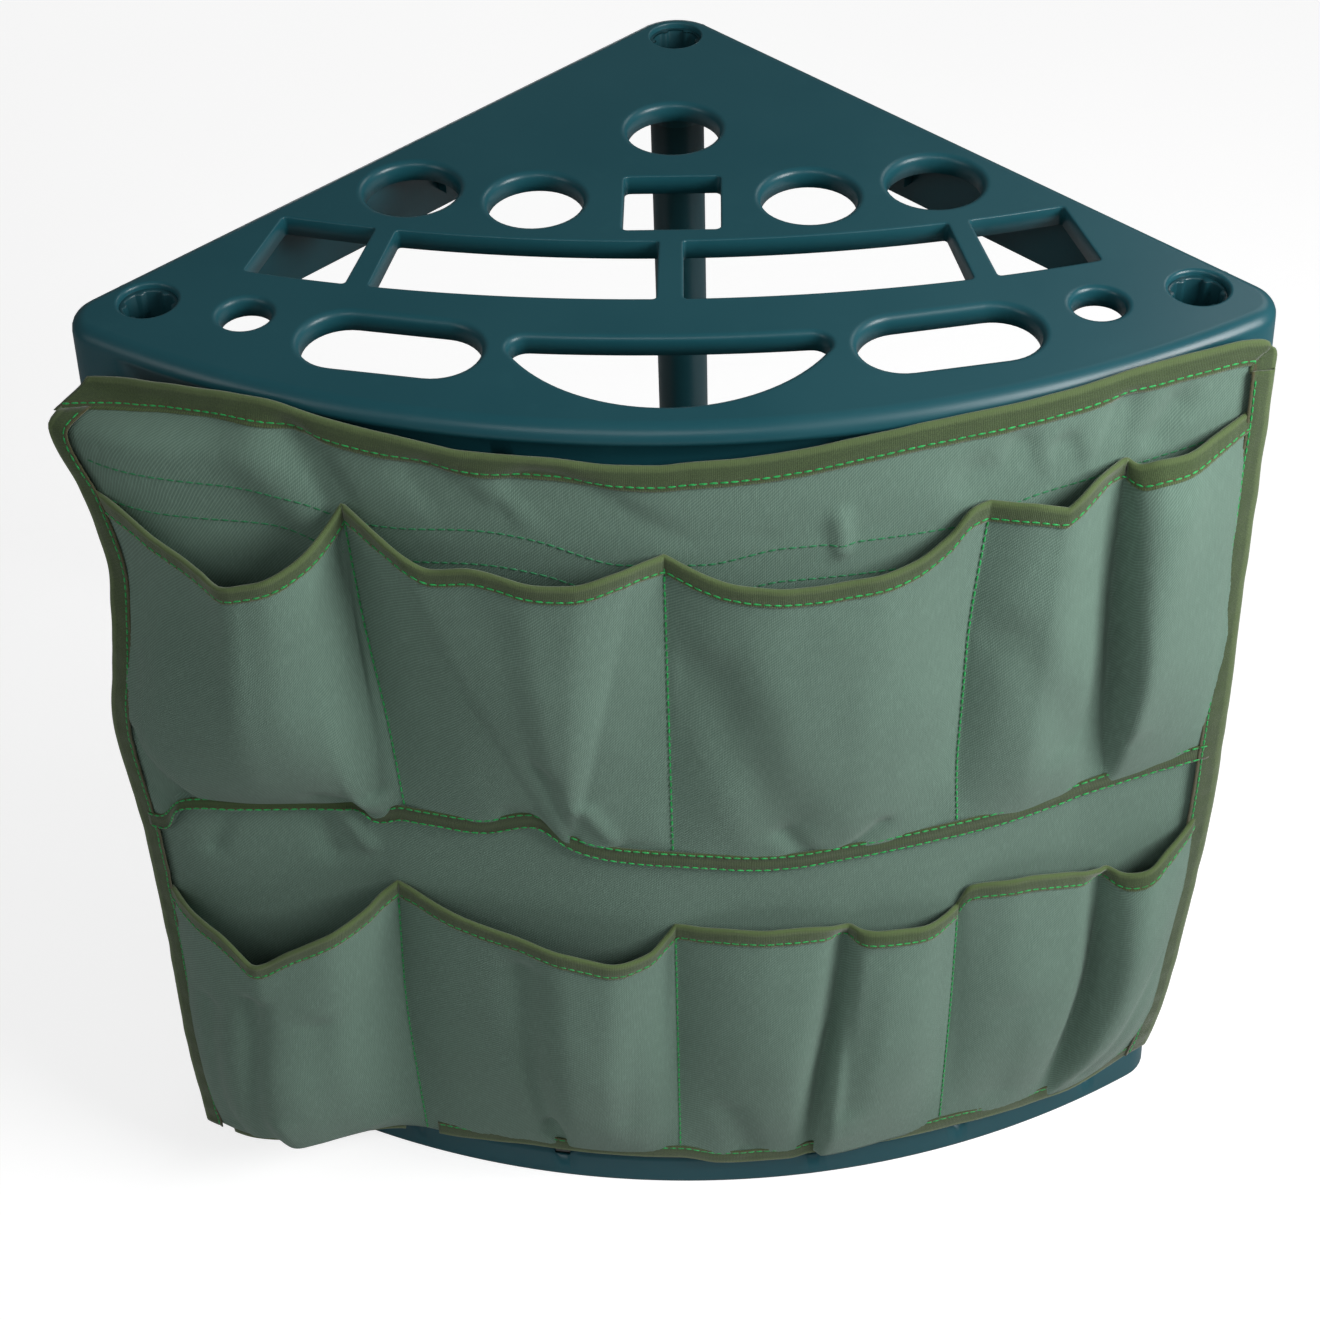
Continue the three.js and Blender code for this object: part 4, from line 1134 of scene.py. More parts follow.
@dataclass
class PocketRow:
    """A strip of four pockets, sewn along its foot and at its seams, and free at its mouths.

    A seam's points are the share from the foot to the mouth, and the place along the arc.
    """

    form: ClothForm
    pockets: tuple[Pocket, ...]
    seams: tuple[Line, ...]
    foot: Callable[[float], float]
    lift: float = 1.5
    pouch_level: float = 0.12  # the share of the way up where a hanging foot stands out most
    pouch_fade: float = 0.6
    seam_fade: float = 0.06  # the share beside a seam where the folds and the unevenness grow
    foot_fade: float = 0.05
    pleat_fade: float = 0.12
    unevenness: float = 1.1

    def __post_init__(self) -> None:
        """Keeps each pocket's mouth as a line."""
        self.mouths = [pocket.mouth_line() for pocket in self.pockets]

    def place(self, across: float, share: float) -> Vector:
        """Gives a point of the strip.

        Args:
            across: The pocket's number, from 0, plus the share across it.
            share: The share of the way from the foot to the mouth.

        Returns:
            The point, in the drawing frame.
        """
        index = int(clamp(math.floor(across), 0, len(self.pockets) - 1))
        pocket, mouth = self.pockets[index], self.mouths[index]
        left, right = self.seams[index], self.seams[index + 1]
        t = clamp(across - index)
        along, height, out = mouth.at(t)
        foot_along = mix(left.value(0), right.value(0), t)
        foot_height = self.foot(foot_along)
        z = mix(foot_height, height, share)
        rail = mix(left.value(share), right.value(share), t)
        straight = mix(foot_along, mix(mouth.value(0), mouth.value(1), t), share)
        x = mix(foot_along, along, share) + rail - straight
        if pocket.ridges:
            out = mouth.at(round(pocket.ridged(t, clamp(share)), 4))[2]
        stand = out * max(share, 0) ** pocket.rise + pocket.belly.value(t) * pocket.swell(share)
        down, forward = pocket.hang.at(t)
        low = share < self.pouch_level
        pouch = max(share / self.pouch_level if low else 1 - (share - self.pouch_level) / self.pouch_fade, 0)
        z -= down * pouch**1.5
        stand += forward * pouch
        fade = ease(t / self.seam_fade) * ease((1 - t) / self.seam_fade) * ease(share / self.foot_fade)
        run = t * (right.value(share) - left.value(share))
        uneven = rough(x * 0.022, z * 0.016, 5.0) + 0.4 * rough(x * 0.06, z * 0.03, 7.0)
        creased = folded(pocket.folds, run, share * (height - foot_height))
        stand = max(stand - fade * (creased - self.unevenness * uneven), 0)
        for pleat in pocket.pleats:
            stand = mix(stand, pleat.raised(stand, run, clamp(share)), ease((1 - t) / self.pleat_fade))
        eased, pull = self.form.eased(x, z)
        return self.form.spot(eased, z, pull + self.lift + stand)


@dataclass(frozen=True)
class Edge:
    """A cloth's edge: a point for a place along it and a depth in from it."""

    point: Place
    start: float
    end: float
    front: int = 1  # -1 where the edge runs the other way round the cloth


@dataclass
class Tape:
    """A tape folded over an edge of the cloth and sewn down."""

    edge: Edge
    width: float
    layers: float
    columns: int
    stitch_depth: float
    wave: float = 0.5
    clearance: float = 0.5  # from the cloth's face to the middle of the tape
    dent: float = 0.3  # how deep the stitches lie in it
    pucker: float = 0.12
    thread_lift: float = 0.45

    def __post_init__(self) -> None:
        """Measures the edge and finds the cloth's way at each place along it."""
        edge = self.edge
        self.places = steps(edge.start, edge.end, self.columns)
        step = (edge.end - edge.start) / 4000
        self.frames = {}
        self.runs = {}
        run = 0.0
        for place in self.places:
            here = edge.point(place, 0.0)
            out = (here - edge.point(place, 2.0)).normalized()
            before, after = max(place - step, edge.start), min(place + step, edge.end)
            ahead = edge.point(after, 1.0) - edge.point(before, 1.0)
            if self.runs:
                run += (here - last).length
            last = here
            self.frames[place] = (out, ahead.cross(out).normalized() * edge.front)
            self.runs[place] = run

    def over(self, place: float, depth: float, side: int) -> Vector:
        """Gives a point of the tape, on the front for side 1 and on the back for side -1."""
        out, normal = self.frames[place]
        run = self.runs[place]
        drift = self.wave * rough(run * 0.05, self.width, 3.0)
        lift = self.layers / 2 + self.clearance
        if depth < 0:
            angle = -depth * math.pi / 2
            turn = normal * side * (lift * math.cos(angle))
            return self.edge.point(place, 0.0) + out * (lift * math.sin(angle) + drift) + turn
        if side > 0:
            lift += self.wave * 0.7 * rough(run * 0.09, depth * 0.1, 9.0)
            lift -= self.dent * math.exp(-((depth - self.stitch_depth) ** 2))
            lift += self.pucker * math.sin(run * math.tau / STITCH_PITCH) * ease(depth / self.stitch_depth)
        return self.edge.point(place, depth * (1 + 0.05 * drift)) + out * drift + normal * side * lift

    def mesh(self) -> Body:
        """Gives the tape's mesh, its weave measured along it and in from its fold."""
        shares = (1, 0.9, 0.8, 0.68, 0.54, 0.4, 0.26, 0.12, 0)
        front = [self.width * share for share in shares] + [-0.25, -0.5, -0.75]
        section = [(depth, 1) for depth in (*front, -1.0)] + [(depth, -1) for depth in reversed(front)]
        span = self.edge.end - self.edge.start

        def measured(place: float, number: float) -> tuple[float, float]:
            index = round((place - self.edge.start) / span * self.columns)
            return self.runs[self.places[index]], max(section[round(number)][0], 0.0)

        def point(place: float, number: float) -> Vector:
            return self.over(place, *section[round(number)])

        return Workshop.rewoven(Workshop.web(self.places, range(len(section)), point), measured)

    def stitch_path(self) -> list[tuple[Vector, Vector]]:
        """Gives the way of the stitches, each point with the way out of the cloth."""
        normals = [self.frames[place][1] for place in self.places]
        points = [self.over(place, self.stitch_depth, 1) for place in self.places]
        return [(point + normal * self.thread_lift, normal) for point, normal in zip(points, normals)]


@dataclass
class Seamstress:
    """Sews tapes and rows of stitches on the cloth."""

    shop: Workshop
    pitch: float = STITCH_PITCH
    stitch: float = 4.3
    gap: float = 1.0  # before the first stitch
    thread: float = 0.62
    flatness: float = 0.7

    def bind(self, name: str, tape: Tape, finish: Finish, node: str) -> list[Piece]:
        """Makes a tape and the stitches that hold it.

        Args:
            name: The tape's name.
            tape: Its form.
            finish: Its finish.
            node: The solid that it stands for.

        Returns:
            The tape and its stitches.
        """
        made = self.shop.piece(name, tape.mesh(), [finish], [node])
        thicken(made, 0.7)
        return [made, self.stitches(f"{name}_stitches", tape.stitch_path())]

    def stitches(
        self, name: str, path: Sequence[tuple[Vector, Vector]], finish: Finish = Finish.THREAD
    ) -> Piece:
        """Sews a row of stitches.

        Args:
            name: The piece's name.
            path: Points along the row, each with the way out of the cloth.
            finish: The thread.

        Returns:
            The stitches as one piece.
        """
        body = bmesh.new()
        runs = [0.0]
        for (a, _), (b, _) in zip(path, path[1:]):
            runs.append(runs[-1] + (b - a).length)
        lines = Line(*((run, *spot, *way) for run, (spot, way) in zip(runs, path)))
        for i in range(int((runs[-1] - 2 * self.gap) / self.pitch)):
            start = self.gap + i * self.pitch
            first, last = (Vector(lines.at(run)[:3]) for run in (start, start + self.stitch))
            normal = Vector(lines.at(start + self.stitch / 2)[3:]).normalized()
            along = last - first
            side = normal.cross(along).normalized()
            turn = Matrix((along.normalized(), side, along.normalized().cross(side))).transposed().to_4x4()
            size = Matrix.Diagonal((along.length / 2, self.thread, self.thread * self.flatness, 1))
            spin = Matrix.Rotation(math.pi / 2, 4, "Y")
            place = Matrix.Translation((first + last) / 2) @ turn @ size @ spin
            bmesh.ops.create_uvsphere(body, u_segments=6, v_segments=5, radius=1, matrix=place)
        return self.shop.piece(name, body, [finish])


UPPER_SEAMS = (
    Line((0, -305), (1, -305)),
    Line((0, -151), (0.35, -154), (0.65, -159), (1, -162)),
    Line((0, -3), (1, -3)),
    Line((0, 155), (0.3, 151), (0.6, 151), (1, 157)),
    Line((0, 305), (1, 305)),
)
LOWER_SEAMS = (
    Line((0, -305), (1, -305)),
    Line((0, -168), (0.45, -169), (1, -163)),
    Line((0, -4), (1, -3)),
    Line((0, 161), (0.5, 161), (1, 160)),
    Line((0, 305), (1, 305)),
)

UPPER_POCKETS = (
    Pocket(
        mouth=(
            (-305, 534, 0), (-295, 533, 0.5), (-282, 532, 3), (-255, 526, 16), (-225, 521, 34),
            (-208, 520, 44), (-202, 521, 45), (-185, 525.5, 43), (-172, 531, 30), (-166, 536.5, 12),
            (-160.5, 545.5, 0),
        ),
        corners=(6,),
        belly=Line(
            (0, 0), (0.06, 1), (0.16, 8), (0.35, 18), (0.6, 23), (0.8, 22), (0.9, 15), (0.95, 5), (1, 0),
        ),
        belly_peak=0.36,
        folds=creases(
            (62, 200, 54, 60, 4, 26, 2, 24), (138, 200, 138, 30, 9, 6, 7, 6), (8, 70, 34, 10, 9, 8, 7, 8),
            (112, 20, 132, 6, 3, 7),
        ),
    ),
    Pocket(
        mouth=(
            (-160.5, 545.5, 0), (-138.6, 539, 12), (-125, 533, 17), (-112.4, 527.7, 18), (-91.5, 531.5, 19),
            (-62.2, 528, 23), (-45.6, 528.5, 23), (-25, 532, 17), (-14, 532, 9), (-2.8, 530.8, 0),
        ),
        belly=Line((0, 0), (0.1, 1), (0.5, 4), (0.9, 1), (1, 0)),
        rise=0.62,
        ridges=(0.2, 0.9, 0.56, 0.63),
        folds=creases(
            (86, 60, 94, 8, 3, 6, 2, 4), (104, 40, 118, 14, -3, 7, -2, 5), (60, 14, 80, 2, 2, 6),
            (120, 12, 138, 8, 3, 6),
        ),
    ),
    Pocket(
        mouth=(
            (-2.8, 530.8, 0), (18.5, 523, 8), (61, 518, 15), (94, 520, 15), (118, 524, 11), (135, 533, 6),
            (148, 544, 2), (156.2, 544.5, 0),
        ),
        belly=Line((0, 0), (0.1, 3), (0.5, 8), (0.9, 4), (1, 0)),
        rise=0.9,
        folds=creases((112, 26, 92, 4, 3, 6, 2, 4), (20, 150, 60, 40, 4, 18), (60, 30, 74, 8, 2.5, 6)),
    ),
    Pocket(
        mouth=(
            (156.2, 544.5, 0), (173, 545, 9), (190.8, 542, 15), (196.5, 545.4, 14), (210, 549.6, 8),
            (225, 550.5, 1), (229, 550.5, -1), (233, 548.6, 5), (241, 551.8, 10), (253.5, 552.4, 11),
            (274, 555, 6), (297, 560, 0.5), (305, 561, 0),
        ),
        corners=(2, 6),
        belly=Line(
            (0, 0), (0.12, 7), (0.3, 12), (0.42, 12), (0.56, 9), (0.75, 9), (0.88, 5), (0.94, 1), (1, 0),
        ),
        rise=0.8,
        folds=creases((20, 150, 60, 60, 3, 14), (100, 200, 92, 60, -2.5, 12)),
        pleats=(
            Pleat(
                Line((0, 88), (0.4, 86), (0.72, 80.5), (1, 73)),
                Line((0, 0.5), (0.06, 2.5), (0.25, 7), (0.5, 10), (0.85, 9), (0.96, 5), (1, 0)),
                flank=3.5,
                hollow=14.0,
            ),
        ),
    ),
)

LOWER_POCKETS = (
    Pocket(
        mouth=(
            (-305, 240, 0), (-295, 241, 1), (-284, 242, 6), (-253, 242.5, 24), (-227, 234.8, 42),
            (-222, 236, 44), (-205, 248.5, 44), (-186, 260, 42), (-172, 265, 24), (-167, 265.5, 8),
            (-161.8, 267.5, 0),
        ),
        corners=(4,),
        belly=Line((0, 0), (0.05, 1), (0.12, 8), (0.3, 18), (0.55, 24), (0.8, 20), (0.92, 9), (1, 0)),
        belly_peak=0.36,
        hang=Line(
            (0, 0, 0), (0.2, 0, 0), (0.36, 0.8, 5), (0.55, 1.4, 10), (0.66, 1.8, 13), (0.82, 1, 8),
            (0.93, 0.2, 3), (1, 0, 0),
        ),
        folds=creases(
            (34, 150, 30, 20, 4, 8, 3, 9), (64, 170, 60, 10, 6, 8, 4, 8), (96, 150, 98, 30, 4, 10, 3, 12),
            (74, 60, 78, 4, -2.5, 7),
        ),
    ),
    Pocket(
        mouth=(
            (-161.8, 267.5, 0), (-122.5, 260.4, 11), (-84.7, 256, 18), (-60.4, 252, 23), (-39, 247, 23),
            (-18, 245.5, 14), (-8.7, 250, 5), (-3.2, 255.8, 0),
        ),
        belly=Line((0, 0), (0.1, 1), (0.4, 5), (0.62, 12), (0.9, 7), (1, 0)),
        rise=0.7,
        ridges=(0.45, 0.85, 0.55, 0.8),
        folds=creases((74, 190, 86, 20, 5, 10, 5, 8), (150, 190, 132, 60, 3, 16), (86, 30, 92, -6, 4, 5)),
    ),
    Pocket(
        mouth=(
            (-3.2, 255.8, 0), (22, 260, 7), (51, 261, 12), (82.6, 256, 9), (90, 252, 5), (93, 251, 4),
            (99, 252, 10), (115.5, 251.5, 14), (133, 248.6, 13), (150, 246.2, 5), (158.5, 246.5, 0),
        ),
        corners=(4,),
        belly=Line((0, 0), (0.1, 5), (0.4, 12), (0.54, 9), (0.6, 7), (0.8, 9), (0.93, 5), (1, 0)),
        hang=Line((0, 0, 0), (0.49, 0, 0), (0.52, 2, 2), (0.66, 0.6, 1), (0.78, 0, 0), (1, 0, 0)),
        folds=creases((30, 60, 44, 8, 2.5, 10), (112, 200, 100, 60, 2.5, 10)),
        pleats=(
            Pleat(
                Line((0, 82), (0.42, 85), (0.68, 90), (1, 95.5)),
                Line((0, 6), (0.2, 8), (0.6, 6), (0.95, 3), (1, 0)),
            ),
        ),
    ),
    Pocket(
        mouth=(
            (158.5, 248, 0), (164.5, 262, 2), (192, 265, 9), (229.6, 255.7, 10), (243.5, 251, 7),
            (248, 250, 5), (253, 249.6, 12), (264, 254, 18), (278, 263, 12), (292, 272.6, 4),
            (298.7, 280, 0.5), (305, 284, 0),
        ),
        corners=(4,),
        belly=Line(
            (0, 0), (0.12, 5), (0.35, 12), (0.5, 11), (0.66, 9), (0.78, 9), (0.88, 5), (0.94, 1), (1, 0),
        ),
        folds=creases((40, 120, 36, 30, 2.5, 14), (120, 120, 96, 20, 3, 8)),
        pleats=(
            Pleat(
                Line((0, 73), (0.28, 81), (0.6, 87), (1, 84)),
                Line((0, 1), (0.12, 6), (0.5, 10), (0.9, 6), (1, 0)),
                flank=4.5,
                reach=34.0,
            ),
        ),
    ),
)

PANEL_FOLDS = creases(
    (-186, 588, -166, 548, 3.5, 9, 4, 8), (-206, 575, -176, 520, -2.5, 14),
    (-62, 575, -4, 528, 5, 16, 4, 12), (-118, 572, -92, 542, 3, 14, 3, 10), (-98, 556, -92, 530, 2, 5),
    (-84, 552, -76, 526, 2, 5), (172, 572, 176, 550, 3, 8), (196, 566, 200, 545, 3, 7),
    (228, 580, 222, 556, 3, 9), (256, 574, 246, 560, 2.5, 9), (150, 560, 170, 548, 2.5, 12),
    (82, 548, 84, 528, -2.2, 5), (44, 536, 46, 524, 1.8, 5), (-270, 327, -240, 329.6, -5, 4.5, -6, 4.5),
    (-231, 330, -184, 330, -6, 4.5, -5, 4.5), (-250, 322, -262, 290, 2, 6), (-206, 322, -200, 288, 2, 7),
    (-188, 320, -178, 296, -2, 6), (-128, 318, -60, 296, 3, 12), (-60, 318, -36, 290, 4, 9),
    (0, 306, 10, 292, 3, 6), (120, 300, 40, 282, 3, 14),
)


@dataclass
class Cloth:
    """The sewn cloth: back panel, two strips of pockets, bindings, seams and the band behind."""

    shop: Workshop
    form: ClothForm = field(default_factory=ClothForm)
    thickness: float = 1.0
    across: int = 72
    unevenness: float = 0.7
    fold_scale: float = 1.5
    least_out: float = -1.9  # the panel stays before the band, and leans in further at its head
    head: float = 550.0
    head_lean: float = 0.12
    corner: float = 9.0
    side_inset: float = 2.5
    edge_lift: float = 1.2
    foot_lift: float = 0.8
    tall: float = 568.0
    strip_tall: float = 225.0
    strip_wide: float = 700.0
    band_top: float = 545.0
    band_seam: Line = Line(
        (-300, 552), (-199, 548), (-182, 544), (-168, 537), (-147, 535), (-91, 540), (-65, 537), (-22, 524),
        (15, 524), (57, 532), (142, 532), (180, 541), (212, 543), (300, 550),
    )
    band_width: float = 24.0
    band_depth: float = 2.2
    seam_half: float = 6.2
    seam_lift: float = 3.4
    seam_stitches: float = 4.9

    def __post_init__(self) -> None:
        """Makes the two strips of pockets."""
        form = self.form
        self.upper = PocketRow(form, UPPER_POCKETS, UPPER_SEAMS, lambda along: form.seam.value(along) - 5.0)
        self.lower = PocketRow(form, LOWER_POCKETS, LOWER_SEAMS, lambda along: form.foot.value(along) + 1.5)
        self.needle = Seamstress(self.shop)

    def panel(self, along: float, drop: float) -> Vector:
        """Gives a point of the back panel, a drop below its upper edge, in its flat length."""
        share = 1 - drop / self.tall
        height = self.form.level(along, share)
        eased, pull = self.form.eased(along, height)
        fade = ease(share / 0.02) * ease((1 - share) / 0.03)
        wander = self.unevenness * rough(along * 0.017, height * 0.013, 2.0) - 0.2
        out = pull + fade * (wander - self.fold_scale * folded(PANEL_FOLDS, along, height))
        least = self.least_out - self.head_lean * max(height - self.head, -16)
        return self.form.spot(eased, height, max(out, least))

    def _out(self, along: float) -> Vector:
        """Gives the way out from the arc."""
        angle = along / self.form.radius
        return Vector((math.sin(angle), -math.cos(angle), 0))

    def _top_edge(self, run: float, depth: float) -> Vector:
        """Gives a point in from the upper edge, which turns down round the right corner."""
        half, small = self.form.half, self.corner
        along, drop = run, 0.0
        if run > half - small:
            turn = min((run - half + small) / small, math.pi / 2)
            along = half - small + small * math.sin(turn)
            drop = small - small * math.cos(turn) + max(run - half + small - small * math.pi / 2, 0)
        return self.panel(min(along, half - depth), max(drop, depth))

    def _rounded(self, along: float, drop: float) -> tuple[float, float]:
        """Keeps a place of the panel inside its rounded right corner."""
        half, small = self.form.half, self.corner
        x, y = along - (half - small), small - drop
        if x <= 0 or y <= 0 or math.hypot(x, y) <= small - 1:
            return along, drop
        scale = (small - 1) / math.hypot(x, y)
        return half - small + x * scale, small - y * scale

    def build(self) -> None:
        """Builds every piece of the cloth."""
        panel_trims, upper_trims, lower_trims = self._bindings()
        panel, upper, lower = self._sheets()
        panel_trims += [self._band(), *self._band_stitches()]
        upper_trims += [*self._seam_tape(), *self._dividers("upper", self.upper)]
        lower_trims += self._dividers("lower", self.lower)
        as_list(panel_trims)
        for strip, trims in ((upper, upper_trims), (lower, lower_trims)):
            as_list(trims)

    def _sheets(self) -> list[Piece]:
        """Builds the panel and the two strips."""
        edge = self.form.half - 1.2
        columns, rows = steps(-edge, edge, 220), steps(self.tall - 1.5, 1.5, 150)
        body = Workshop.web(columns, rows, lambda along, drop: self.panel(*self._rounded(along, drop)))
        made = [self.shop.piece("back_panel_sheet", body, [Finish.CLOTH], ["cloth_back_panel"])]
        for name, row in (("upper", self.upper), ("lower", self.lower)):
            body = Workshop.web(steps(0, 4, 4 * self.across), steps(0, 0.995, 90), row.place)
            Workshop.rewoven(body, lambda across, up: (across * self.strip_wide / 4, -up * self.strip_tall))
            stands_for = [f"{name}_pocket_strip"]
            made.append(self.shop.piece(f"{name}_pockets_sheet", body, [Finish.CLOTH], stands_for))
        for sheet in made:
            thicken(sheet, self.thickness)
        return made

    def _bindings(self) -> list[list[Piece]]:
        """Binds the panel's edges and the pockets' mouths."""
        half, tall, small, inset = self.form.half, self.tall, self.corner, self.side_inset

        def foot(along: float, depth: float) -> Vector:
            return self.panel(along, tall - depth) + self._out(along) * self.foot_lift

        def left(drop: float, depth: float) -> Vector:
            return self.panel(-half + inset + depth, drop) + self._out(-half) * self.edge_lift

        def right(drop: float, depth: float) -> Vector:
            return self.panel(half - inset - depth, drop) + self._out(half) * self.edge_lift

        def mouth(row: PocketRow) -> Place:
            return lambda across, depth: row.place(across, 1 - depth / self.strip_tall)

        turned_end = half - small + small * math.pi / 2 + 9
        edges = (  # each with its tape's width, layers, columns, stitch depth and waviness
            ("top_binding", Edge(self._top_edge, -half - 0.5, turned_end), 13.0, 1.4, 320, 10.4, 0.5),
            ("bottom_binding", Edge(foot, -160, half - 4, -1), 11.5, 2.6, 220, 9.2, 0.6),
            ("bottom_binding_left", Edge(foot, -half + 22, -183, -1), 11.0, 2.6, 60, 9.4, 0.6),
            ("left_binding", Edge(left, tall, 10.5), 11.0, 4.0, 240, 8.6, 0.9),
            ("right_binding", Edge(right, tall, small + 6, -1), 11.0, 4.0, 240, 8.6, 0.6),
        )
        made = [[]]  # the panel's trims, then those of each strip
        for node, *tape in edges:
            made[0] += self.needle.bind(f"{node}_tape", Tape(*tape), Finish.TAPE, node)
        for name, row in (("upper", self.upper), ("lower", self.lower)):
            tape = Tape(Edge(mouth(row), 0.03, 3.97), 10.2, 1.2, 480, 8.3, 0.5)
            node = f"{name}_mouth_binding"
            made.append(self.needle.bind(f"{name}_mouth_tape", tape, Finish.MOUTH_TAPE, node))
        return made

    def _seam_point(self, along: float, offset: float, lift: float) -> Vector:
        """Gives a point over the middle seam."""
        tuck = ease((-along - 172) / 14) * ease((along + 286) / 18)  # under the left pocket's foot
        height = self.form.seam.value(along) + offset * (1 - 0.55 * tuck)
        eased, pull = self.form.eased(along, height)
        ruffle = 0.4 * rough(along * 0.08, offset * 0.2, 0)
        return self.form.spot(eased, height, pull + lift + ruffle + tuck * (4.5 - 0.3 * offset))

    def _seam_tape(self) -> list[Piece]:
        """Sews the flat tape over the upper strip's foot."""
        reach = self.form.half - 8
        places, offsets = steps(-reach, reach, 320), steps(-self.seam_half, self.seam_half, 6)
        lift = self.seam_lift
        body = Workshop.web(places, offsets, lambda along, offset: self._seam_point(along, offset, lift))
        tape = self.shop.piece("middle_seam_tape_strip", body, [Finish.SEAM_TAPE], ["middle_seam_tape"])
        thicken(tape, 0.8)
        rows = [tape]
        for name, offset in (("upper", self.seam_stitches), ("lower", -self.seam_stitches)):
            path = [(self._seam_point(along, offset, lift + 0.7), self._out(along)) for along in places]
            rows.append(self.needle.stitches(f"seam_tape_{name}_stitches", path))
        return rows

    def _band(self) -> Piece:
        """Builds the fastening band behind the cloth's head."""

        def point(along: float, drop: float) -> Vector:
            height = self.band_top - drop
            eased, pull = self.form.eased(along, height)
            return self.form.spot(eased, height, pull - self.band_depth)

        reach = self.form.half - 14
        body = Workshop.web(steps(-reach, reach, 160), steps(0, self.band_width, 4), point)
        made = self.shop.piece("fastening_band_strip", body, [Finish.WEBBING], ["fastening_band"])
        thicken(made, 0.9)
        return made

    def _band_stitches(self) -> list[Piece]:
        """Sews the two rows that hold the band."""
        made = []
        reach = self.form.half - 16
        for name, offset in (("upper", 0.0), ("lower", self.band_width - 3.0)):
            path = []
            for along in steps(-reach, reach, 240):
                top, foot = self.form.top.value(along), self.form.foot.value(along)
                drop = self.tall * (top - self.band_seam.value(along) + offset) / (top - foot)
                path.append((self.panel(along, drop) + self._out(along) * 0.6, self._out(along)))
            made.append(self.needle.stitches(f"band_{name}_stitches", path, Finish.HIDDEN_THREAD))
        return made

    def _dividers(self, name: str, row: PocketRow) -> list[Piece]:
        """Sews the seams between a row's pockets."""
        made = []
        for number in range(1, len(row.pockets)):
            path = []
            for share in steps(0.0, 0.985, 80):
                place = (row.place(number - 0.006, share) + row.place(number + 0.006, share)) / 2
                out = Vector((place.x, place.y - self.form.arc_centre, 0)).normalized()
                path.append((place + out * 0.8, out))
            made.append(self.needle.stitches(f"{name}_divider_{number}_stitches", path))
        return made


@dataclass
class StrapTab:
    """A strap sewn to the cloth, through a tray's slot, with a toggle behind the wall."""

    shop: Workshop
    node: str
    along: float
    slot_height: float
    upwards: bool
    form: ClothForm = field(default_factory=ClothForm)
    depth: float = 5.0  # how far it lies behind the cloth's arc
    inner: float = 540.0
    half: float = 4.6
    thickness: float = 1.4
    toggle: tuple[float, float, float] = (15, 5.2, 12.0)
    toggle_drop: float = 4.3
    toggle_round: float = 0.9
    toggle_reach: float = 10.2  # from its middle to its corners

    def build(self) -> Piece:
        """Builds the tab and sets it in place of its solid."""
        sign = 1 if self.upwards else -1
        angle = self.along / TrayPlan().foot_radius
        outer, slot = self.form.radius - self.depth, self.slot_height
        low, high = (Vector(corner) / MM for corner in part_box(self.node))
        end = (high if self.upwards else low).z - (self.shop.corner / MM).z
        rows = [(self.inner, slot), (outer - 3, slot), (outer - 0.8, slot + sign * 1.2)]  # it bends here
        rows += [(outer, slot + sign * 4), (outer, end)]

        def spot(reach: float, side: float, height: float) -> Vector:
            away = Vector((math.sin(angle), -math.cos(angle), 0)) * reach
            across = Vector((math.cos(angle), math.sin(angle), 0)) * side
            return Vector((0, self.form.arc_centre, height)) + away + across

        def strap(side: float, number: float) -> Vector:
            reach, height = rows[round(number)]
            return spot(reach, side, height)

        body = Workshop.web(steps(-self.half, self.half, 4), range(len(rows)), strap)
        bmesh.ops.solidify(body, geom=body.faces, thickness=self.thickness)
        middle = spot(self.inner + 0.3, 0, slot - self.toggle_drop)
        turn = Matrix.Translation(middle) @ Matrix.Rotation(angle, 4, "Z")
        made = bmesh.ops.create_cube(body, size=1, matrix=turn @ Matrix.Diagonal((*self.toggle, 1)))
        edges = list({edge for vert in made["verts"] for edge in vert.link_edges})
        bmesh.ops.bevel(
            body, geom=edges, offset=self.toggle_round, segments=3, profile=0.5, affect="EDGES", material=-1
        )
        body.faces.ensure_lookup_table()
        bmesh.ops.recalc_face_normals(body, faces=body.faces)
        for face in body.faces:
            if (face.calc_center_median() - middle).length < self.toggle_reach:
                face.material_index = 1
        return self.shop.piece(self.node + "_strap", body, [Finish.WEBBING, Finish.TOGGLE], [self.node])


@dataclass(frozen=True)
class Lamp:
    """A soft panel of light that looks at a target, in metres and watts."""

    name: str
    place: tuple[float, float, float]
    target: tuple[float, float, float]
    width: float
    height: float
    power: float

    def hang(self) -> None:
        """Hangs it in the scene."""
        data = bpy.data.lights.new(self.name, "AREA")
        data.shape = "RECTANGLE"
        data.size, data.size_y = self.width, self.height
        data.energy = self.power
        lamp = placed(self.name, data)
        lamp.location = self.place
        lamp.rotation_euler = (Vector(self.target) - Vector(self.place)).to_track_quat("-Z", "Y").to_euler()


